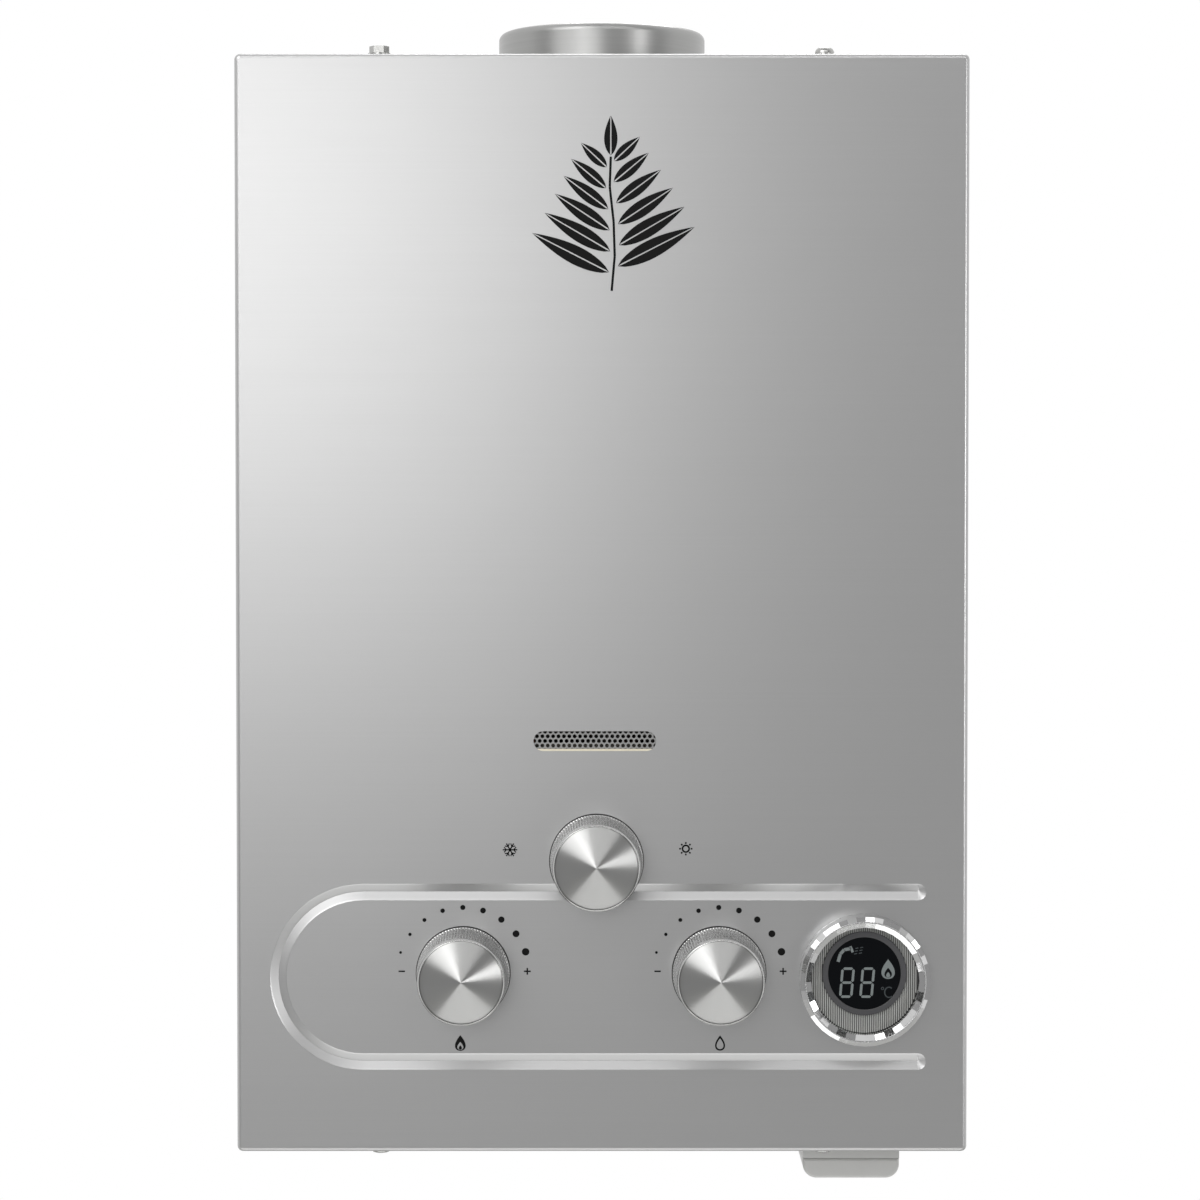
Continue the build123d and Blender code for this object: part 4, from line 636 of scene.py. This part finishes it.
flame(digits, SEGMENT_BACK, SEGMENT_FRONT, (DISPLAY_X + 11.0, LENS_Z + 2.0), 9.2)
pipe = [(-12.2, 5.4), (-11.2, 9.0), (-9.4, 11.0), (-6.4, 11.6)]
for first, last in zip(pipe, pipe[1:]):
    digits.plate(stroke(first, last, 1.5), SEGMENT_BACK, SEGMENT_FRONT, (DISPLAY_X, LENS_Z))
digits.plate(stroke((-6.6, 12.6), (-5.4, 9.8), 1.2), SEGMENT_BACK, SEGMENT_FRONT, (DISPLAY_X, LENS_Z))
piece("display_segments", digits.points, digits.faces, segment_grey, "casing", 30)

faint = Build()
for i in range(3):
    for k in range(2):
        start = (-4.2 + k * 2.2 - i * 0.3, 11.6 - i * 1.3 + k * 0.3)
        faint.plate(stroke(start, (start[0] + 1.4, start[1] + 0.3), 0.45), SEGMENT_BACK, SEGMENT_FRONT,
                    (DISPLAY_X, LENS_Z))
faint.ring_plate(circle(0.35, 16), circle(0.75, 16), SEGMENT_BACK, SEGMENT_FRONT,
                 (DISPLAY_X + 8.4, LENS_Z - 7.0))
unit = [(2.0 * math.cos(math.radians(a)), 2.4 * math.sin(math.radians(a))) for a in range(50, 311, 20)]
for first, last in zip(unit, unit[1:]):
    faint.plate(stroke(first, last, 0.6), SEGMENT_BACK, SEGMENT_FRONT, (DISPLAY_X + 11.4, LENS_Z - 8.8))
piece("display_unit", faint.points, faint.faces, segment_faint, "casing", 30)

# Painted shadow: thin dark rings on the cover round each knob's foot, standing for the shade where the knobs
# meet the cover
SHADOW_RING_INNER_R = 20.4
SHADOW_RING_OUTER_R = 22.05
SHADOW_RING_H = 0.45
shadow_rings = Build()
for shadow_at in ((GAS_X, ROW_Z), (WATER_X, ROW_Z), (MODE_X, MODE_Z)):
    shadow_rings.ring_plate(circle(SHADOW_RING_INNER_R, 96), circle(SHADOW_RING_OUTER_R, 96), FRONT + 0.01, FRONT - SHADOW_RING_H, shadow_at)
# The dark rubber colour of these rings is painted shadow, not a real part
piece("knob_shadow_rings", shadow_rings.points, shadow_rings.faces, rubber_black, "casing", 30)

# Painted highlight: a pale strip along the lower edge of the sight slot, standing for the light caught by that
# edge
SLOT_X = -3.3
SLOT_Z = -63.2
SLOT_R = 4.6
SLOT_STRAIGHT = 23.9
STRIP_RISE = 0.95
bend = math.acos(1 - STRIP_RISE / SLOT_R)
strip_edge = []
for side in (-1, 1):
    for i in range(7):
        turn = bend * ((6 - i) if side < 0 else i) / 6
        strip_edge.append((side * (SLOT_STRAIGHT + SLOT_R * math.sin(turn)), -SLOT_R * math.cos(turn)))
strip = Build()
strip.plate(strip_edge, FRONT + 0.75, FRONT + 0.1, (SLOT_X, SLOT_Z))
piece("slot_highlight_strip", strip.points, strip.faces, slot_highlight, "casing", 30)

# Printed marks on the cover
PRINT_BACK = FRONT + 0.01
PRINT_FRONT = FRONT - 0.05
DOTS = 9
DOT_RING_R = 30.7
DOT_START = 161.6
DOT_STEP = 17.82
DOT_SMALL_R = 0.65
DOT_GROWTH = 1.1
SIGN_RISE = 0.9
PLUS = [(-1.6, -0.35), (-0.35, -0.35), (-0.35, -1.6), (0.35, -1.6), (0.35, -0.35), (1.6, -0.35),
        (1.6, 0.35), (0.35, 0.35), (0.35, 1.6), (-0.35, 1.6), (-0.35, 0.35), (-1.6, 0.35)]
MINUS = stroke((-1.5, 0), (1.5, 0), 0.7)
marks = Build()

for control_x in (GAS_X, WATER_X):
    for i in range(DOTS):
        angle = math.radians(DOT_START - DOT_STEP * i)
        dot = circle(DOT_SMALL_R + DOT_GROWTH * i / (DOTS - 1), 28)
        at = (control_x + DOT_RING_R * math.cos(angle), ROW_Z + DOT_RING_R * math.sin(angle))
        marks.plate(dot, PRINT_BACK, PRINT_FRONT, at)
    marks.plate(MINUS, PRINT_BACK, PRINT_FRONT, (control_x - 28.6, ROW_Z + SIGN_RISE))
    marks.plate(PLUS, PRINT_BACK, PRINT_FRONT, (control_x + 29.8, ROW_Z + SIGN_RISE))

SYMBOL_DROP = 32.6
flame(marks, PRINT_BACK, PRINT_FRONT, (GAS_X - 1.4, ROW_Z - SYMBOL_DROP), 7.4)
drop = droplet(5.0, 7.2)
marks.ring_plate([(x * 0.68, z * 0.70 - 0.35) for x, z in drop], drop, PRINT_BACK, PRINT_FRONT,
                 (WATER_X + 0.5, ROW_Z - SYMBOL_DROP))

FLAKE = (MODE_X - 40.2, MODE_Z + 5.2)
for i in range(6):
    strokes = [stroke((0, 0.0), (0, 3.4), 0.6)]
    strokes += [stroke((0, 1.7), (side * 1.2, 2.75), 0.5) for side in (-1, 1)]
    for outline in strokes:
        marks.plate(rotated(outline, 60 * i + 30), PRINT_BACK, PRINT_FRONT, FLAKE)
SUN = (MODE_X + 41.5, MODE_Z + 5.7)
marks.ring_plate(circle(1.15, 32), circle(1.95, 32), PRINT_BACK, PRINT_FRONT, SUN)
for i in range(8):
    marks.plate(rotated(stroke((0, 2.25), (0, 3.1), 0.75), 45 * i), PRINT_BACK, PRINT_FRONT, SUN)


def leaf(length, width, count=14):
    """The two halves of a pointed leaf that lies along its own upright axis, with a bare vein between."""
    halves = []
    for side in (-1, 1):
        edge = []
        for i in range(count + 1):
            share = i / count
            edge.append((side * width / 2 * math.sin(math.pi * share ** 0.8) ** 0.9, length * share))
        vein = [(side * 0.22, length * 0.94), (side * 0.3, length * 0.05)]
        halves.append(edge + vein)
    return halves


SPRIG = (4.5, 145.5)
LEAF_ROWS = 6
STEM_SPAN = 16
stem = [(0.0, 0.0), (1.4, 16.0), (0.9, 32.0), (-0.9, 48.0), (-0.4, 62.0)]
for first, last in zip(stem, stem[1:]):
    marks.plate(stroke(first, last, 1.1), PRINT_BACK, PRINT_FRONT, SPRIG)
for i in range(LEAF_ROWS):
    height = 9.0 + i * 9.6
    along = min(int(height // STEM_SPAN), len(stem) - 2)
    share = (height - stem[along][1]) / (stem[along + 1][1] - stem[along][1])
    root_x = stem[along][0] + (stem[along + 1][0] - stem[along][0]) * share
    for side in (-1, 1):
        lean = math.radians(side * (63 - 3.2 * i))
        size = (40.0 - 4.7 * i, 8.6 - 0.62 * i)
        for half in leaf(*size):
            place = Matrix.Rotation(-lean, 2)
            foot = Vector((root_x, height + side * 1.4))
            outline = [tuple(place @ Vector((x, z + 2.2)) + foot) for x, z in half]
            marks.plate(outline, PRINT_BACK, PRINT_FRONT, SPRIG)
for half in leaf(18.5, 6.2):
    marks.plate([(x - 0.4, z + 62.5) for x, z in half], PRINT_BACK, PRINT_FRONT, SPRIG)
piece("printed_marks", marks.points, marks.faces, print_black, "casing", 30)

# Threaded stubs and the drain plug below
THREAD_PITCH = 1.814
THREAD_STEPS = 8
THREAD_ROOT_R = 9.35
THREAD_DEPTH = 1.12
THREAD_TOP_R = 10.47
NECK_R = 9.0
RELIEF_R = 9.3
BORE_R = 7.0
NUT_SEAT_R = 12.5
NUT_FLAT_R = 15.0
NUT_H = 8.0
STUB_Y = -60.0
STUB_TIP = -269.0
STUB_SEAT = -252.8


def threaded(name, x, top):
    """A stub with a pipe thread, a nut on the bottom panel and a plain neck above it."""
    stub = Build()
    count = 48
    steps = int((STUB_SEAT - STUB_TIP) / THREAD_PITCH * THREAD_STEPS)
    rings = []
    for i in range(steps + 1):
        z = STUB_TIP + (STUB_SEAT - STUB_TIP) * i / steps
        limit = min(NECK_R + (z - STUB_TIP) * 0.9, THREAD_TOP_R, RELIEF_R + (STUB_SEAT - z) * 1.2)
        ring = []
        for k in range(count):
            angle = 2 * math.pi * k / count
            wave = abs((z / THREAD_PITCH - k / count) % 1.0 - 0.5) * 2
            reach = min(limit, THREAD_ROOT_R + THREAD_DEPTH * (1 - wave))
            ring.append((x + reach * math.cos(angle), STUB_Y + reach * math.sin(angle), z))
        rings.append(ring)
    stub.strip(rings)
    nut_top = STUB_SEAT + NUT_H
    stub.strip(lathe_z(x, STUB_Y, [(RELIEF_R, STUB_SEAT, 0), (NUT_SEAT_R, STUB_SEAT, 0)], count))
    bore = [(NECK_R, STUB_TIP, 0), (BORE_R + 0.4, STUB_TIP, 0), (BORE_R, STUB_TIP + 0.5, 0), (BORE_R, top, 0),
            (NECK_R, top, 0), (NECK_R, nut_top, 0)]
    stub.strip(lathe_z(x, STUB_Y, bore, count))
    across = NUT_FLAT_R / math.cos(math.pi / 6)
    nut = [(NUT_SEAT_R, STUB_SEAT, 0), (across, STUB_SEAT, 0), (across, nut_top, 0), (NECK_R, nut_top, 0)]
    stub.strip(lathe_z(x, STUB_Y, nut, 6))
    shown = piece(f"{name}_stub", stub.points, stub.faces, brass, "casing", 30)
    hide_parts(name)


threaded("gas_inlet", -50.52, -193.4)
threaded("cold_inlet", 46.48, -193.4)
threaded("hot_outlet", -138.0, -230.8)

DRAIN_X = 46.48
DRAIN_Y = -98.0
DRAIN_RIBS = 48
HEX_SOCKET = (2.6, -260.0, 0)
DRAIN_END = (7.06, -250.9, 0)
plug = Build()
plug_profile = [
    HEX_SOCKET, (3.2, -260.9, 0), (6.6, -261.0, 0), (7.6, -260.9, 0), (8.6, -260.2, 0), (8.75, -259.6, 0.3),
    (8.95, -258.9, 0.45), (8.95, -245.0, 0.45), (8.75, -244.4, 0.3), (8.6, -243.9, 0), (8.9, -243.4, 0),
    (8.9, -239.3, 0), (8.6, -239.0, 0), (7.06, -239.0, 0), DRAIN_END,
]
plug.strip(lathe_z(DRAIN_X, DRAIN_Y, plug_profile, 5 * DRAIN_RIBS, DRAIN_RIBS))
plug.cap(lathe_z(DRAIN_X, DRAIN_Y, [HEX_SOCKET], 6)[0])
plug.cap(lathe_z(DRAIN_X, DRAIN_Y, [DRAIN_END], 48)[0])
drain_cap = piece("drain_cap", plug.points, plug.faces, brass, "drain", 30)
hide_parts("drain_plug")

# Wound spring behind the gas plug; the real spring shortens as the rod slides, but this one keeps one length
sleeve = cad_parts["plug_spring"]
corners = [(sleeve.matrix_world @ Vector(corner)) / MM for corner in sleeve.bound_box]
coil_low = min(corner.x for corner in corners)
coil_high = max(corner.x for corner in corners)
coil_y = sum(corner.y for corner in corners) / len(corners)
coil_z = sum(corner.z for corner in corners) / len(corners)
COIL_TURNS = 5
COIL_STEPS = 40
COIL_R = 6.05
WIRE_R = 0.42
coil_rings = []
for i in range(COIL_TURNS * COIL_STEPS + 1):
    turn = 2 * math.pi * i / COIL_STEPS
    along = i / (COIL_TURNS * COIL_STEPS)
    wire_x = coil_low + WIRE_R + (coil_high - coil_low - 2 * WIRE_R) * along
    wire_ring = []
    for u, v in circle(WIRE_R, 12):
        reach = COIL_R + u
        wire_ring.append((wire_x + v, coil_y + reach * math.cos(turn), coil_z + reach * math.sin(turn)))
    coil_rings.append(wire_ring)
coil = Build()
coil.strip(coil_rings)
coil.cap(coil_rings[0])
coil.cap(coil_rings[-1])
plug_coil = piece("plug_coil", coil.points, coil.faces, spindle_steel, "casing", 40)
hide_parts("plug_spring")
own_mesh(plug_coil)

# Floor, light and camera
FLOOR_Z = -0.80
FLOOR_REACH = 1.5
FADE_START = 0.7
FADE_END = 1.45
floor_corners = [(x * FLOOR_REACH, y * FLOOR_REACH, FLOOR_Z) for x, y in ((-1, -1), (1, -1), (1, 1), (-1, 1))]
floor_mesh = bpy.data.meshes.new("studio_floor")
floor_mesh.from_pydata(floor_corners, [], [(0, 1, 2, 3)])
floor_finish = Surface("studio_floor", srgb(214, 214, 212), 0.7)
floor_finish.tint(floor_finish.noise((3, 3, 3), 2.0), 0.01)
rim = floor_finish.add("ShaderNodeVectorMath", {"Vector": floor_finish.place((1, 1, 0))}, operation="LENGTH")
fade = floor_finish.add("ShaderNodeMapRange", {
    "Value": rim.outputs["Value"], "From Min": FADE_START, "From Max": FADE_END, "To Min": 1.0, "To Max": 0.0,
}, interpolation_type="SMOOTHSTEP")
floor_finish.set("Alpha", fade.outputs["Result"])
floor_mesh.materials.append(floor_finish.material)
floor = bpy.data.objects.new("studio_floor", floor_mesh)
bpy.context.collection.objects.link(floor)
floor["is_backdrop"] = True

# White room: full for what the camera and mirrors see, lower as plain light, and darker ahead of the front
AMBIENT_LEVEL = 0.55
AHEAD_LEVEL = 0.40
AHEAD_START = -0.5
AHEAD_END = -0.05
world = bpy.data.worlds.new("studio")
world.use_nodes = True
bpy.context.scene.world = world
tree = world.node_tree
path = tree.nodes.new("ShaderNodeLightPath")
background = tree.nodes["Background"]
background.inputs["Color"].default_value = (1, 1, 1, 1)


def combined(operation, first, second):
    """A math node of the world that joins two values."""
    node = tree.nodes.new("ShaderNodeMath")
    node.operation = operation
    tree.links.new(first, node.inputs[0])
    tree.links.new(second, node.inputs[1])
    return node.outputs["Value"]


def levelled(value, low, high, **limits):
    """A map range node of the world from a low to a high level."""
    node = tree.nodes.new("ShaderNodeMapRange")
    tree.links.new(value, node.inputs["Value"])
    node.inputs["To Min"].default_value = low
    node.inputs["To Max"].default_value = high
    if limits:
        node.interpolation_type = "SMOOTHSTEP"
        node.inputs["From Min"].default_value = limits["start"]
        node.inputs["From Max"].default_value = limits["end"]
    return node.outputs["Result"]


shown_rays = path.outputs["Is Camera Ray"]
for other in ("Is Glossy Ray", "Is Transmission Ray"):
    shown_rays = combined("MAXIMUM", shown_rays, path.outputs[other])
level = levelled(shown_rays, AMBIENT_LEVEL, 1.0)
heading = tree.nodes.new("ShaderNodeTexCoord")
parts = tree.nodes.new("ShaderNodeSeparateXYZ")
tree.links.new(heading.outputs["Generated"], parts.inputs["Vector"])
room = levelled(parts.outputs["Y"], AHEAD_LEVEL, 1.0, start=AHEAD_START, end=AHEAD_END)
seen = combined("MAXIMUM", path.outputs["Is Camera Ray"], room)
tree.links.new(combined("MULTIPLY", level, seen), background.inputs["Strength"])


def softbox(name, place, aim, width, height, power):
    """A rectangular lamp turned towards a point."""
    lamp = bpy.data.lights.new(name, "AREA")
    lamp.shape = "RECTANGLE"
    lamp.size = width
    lamp.size_y = height
    lamp.energy = power
    shown = bpy.data.objects.new(name, lamp)
    shown.location = place
    shown.rotation_mode = "QUATERNION"
    shown.rotation_quaternion = (Vector(aim) - Vector(place)).to_track_quat("-Z", "Y")
    shown.visible_camera = False
    bpy.context.collection.objects.link(shown)


softbox("key_left", (-1.9, -2.5, 1.85), (0, -0.1, 0.05), 2.3, 2.2, 38)
softbox("glow_left", (-0.56, -2.5, 0.37), (-0.1, -0.14, 0.1), 1.0, 0.85, 6.6)
softbox("overhead", (0, -1.2, 1.1), (0, -0.14, -0.13), 2.0, 0.25, 5)
softbox("side_right", (1.55, -1.75, 0.05), (0, -0.1, -0.15), 0.5, 0.7, 8)
softbox("low_front", (0, -0.36, -0.78), (0, -0.2, -0.17), 0.9, 0.42, 1.7)
softbox("top_back", (0.2, 1.2, 1.7), (0, -0.05, 0.1), 1.0, 0.6, 14)

DISTANCE = 1.45
SENSOR_W = 36.0
SEEN_W = 0.556
PITCH = 1.5
camera_data = bpy.data.cameras.new("camera")
camera_data.sensor_width = SENSOR_W
camera_data.lens = SENSOR_W * DISTANCE / SEEN_W
camera_data.shift_y = -0.0622
camera = bpy.data.objects.new("camera", camera_data)
camera.location = (-0.0009, FRONT * MM - DISTANCE, 0.075)
camera.rotation_euler = (math.radians(90 - PITCH), 0, 0)
bpy.context.collection.objects.link(camera)
bpy.context.scene.camera = camera
bpy.context.scene.view_settings.view_transform = "Standard"

low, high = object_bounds()
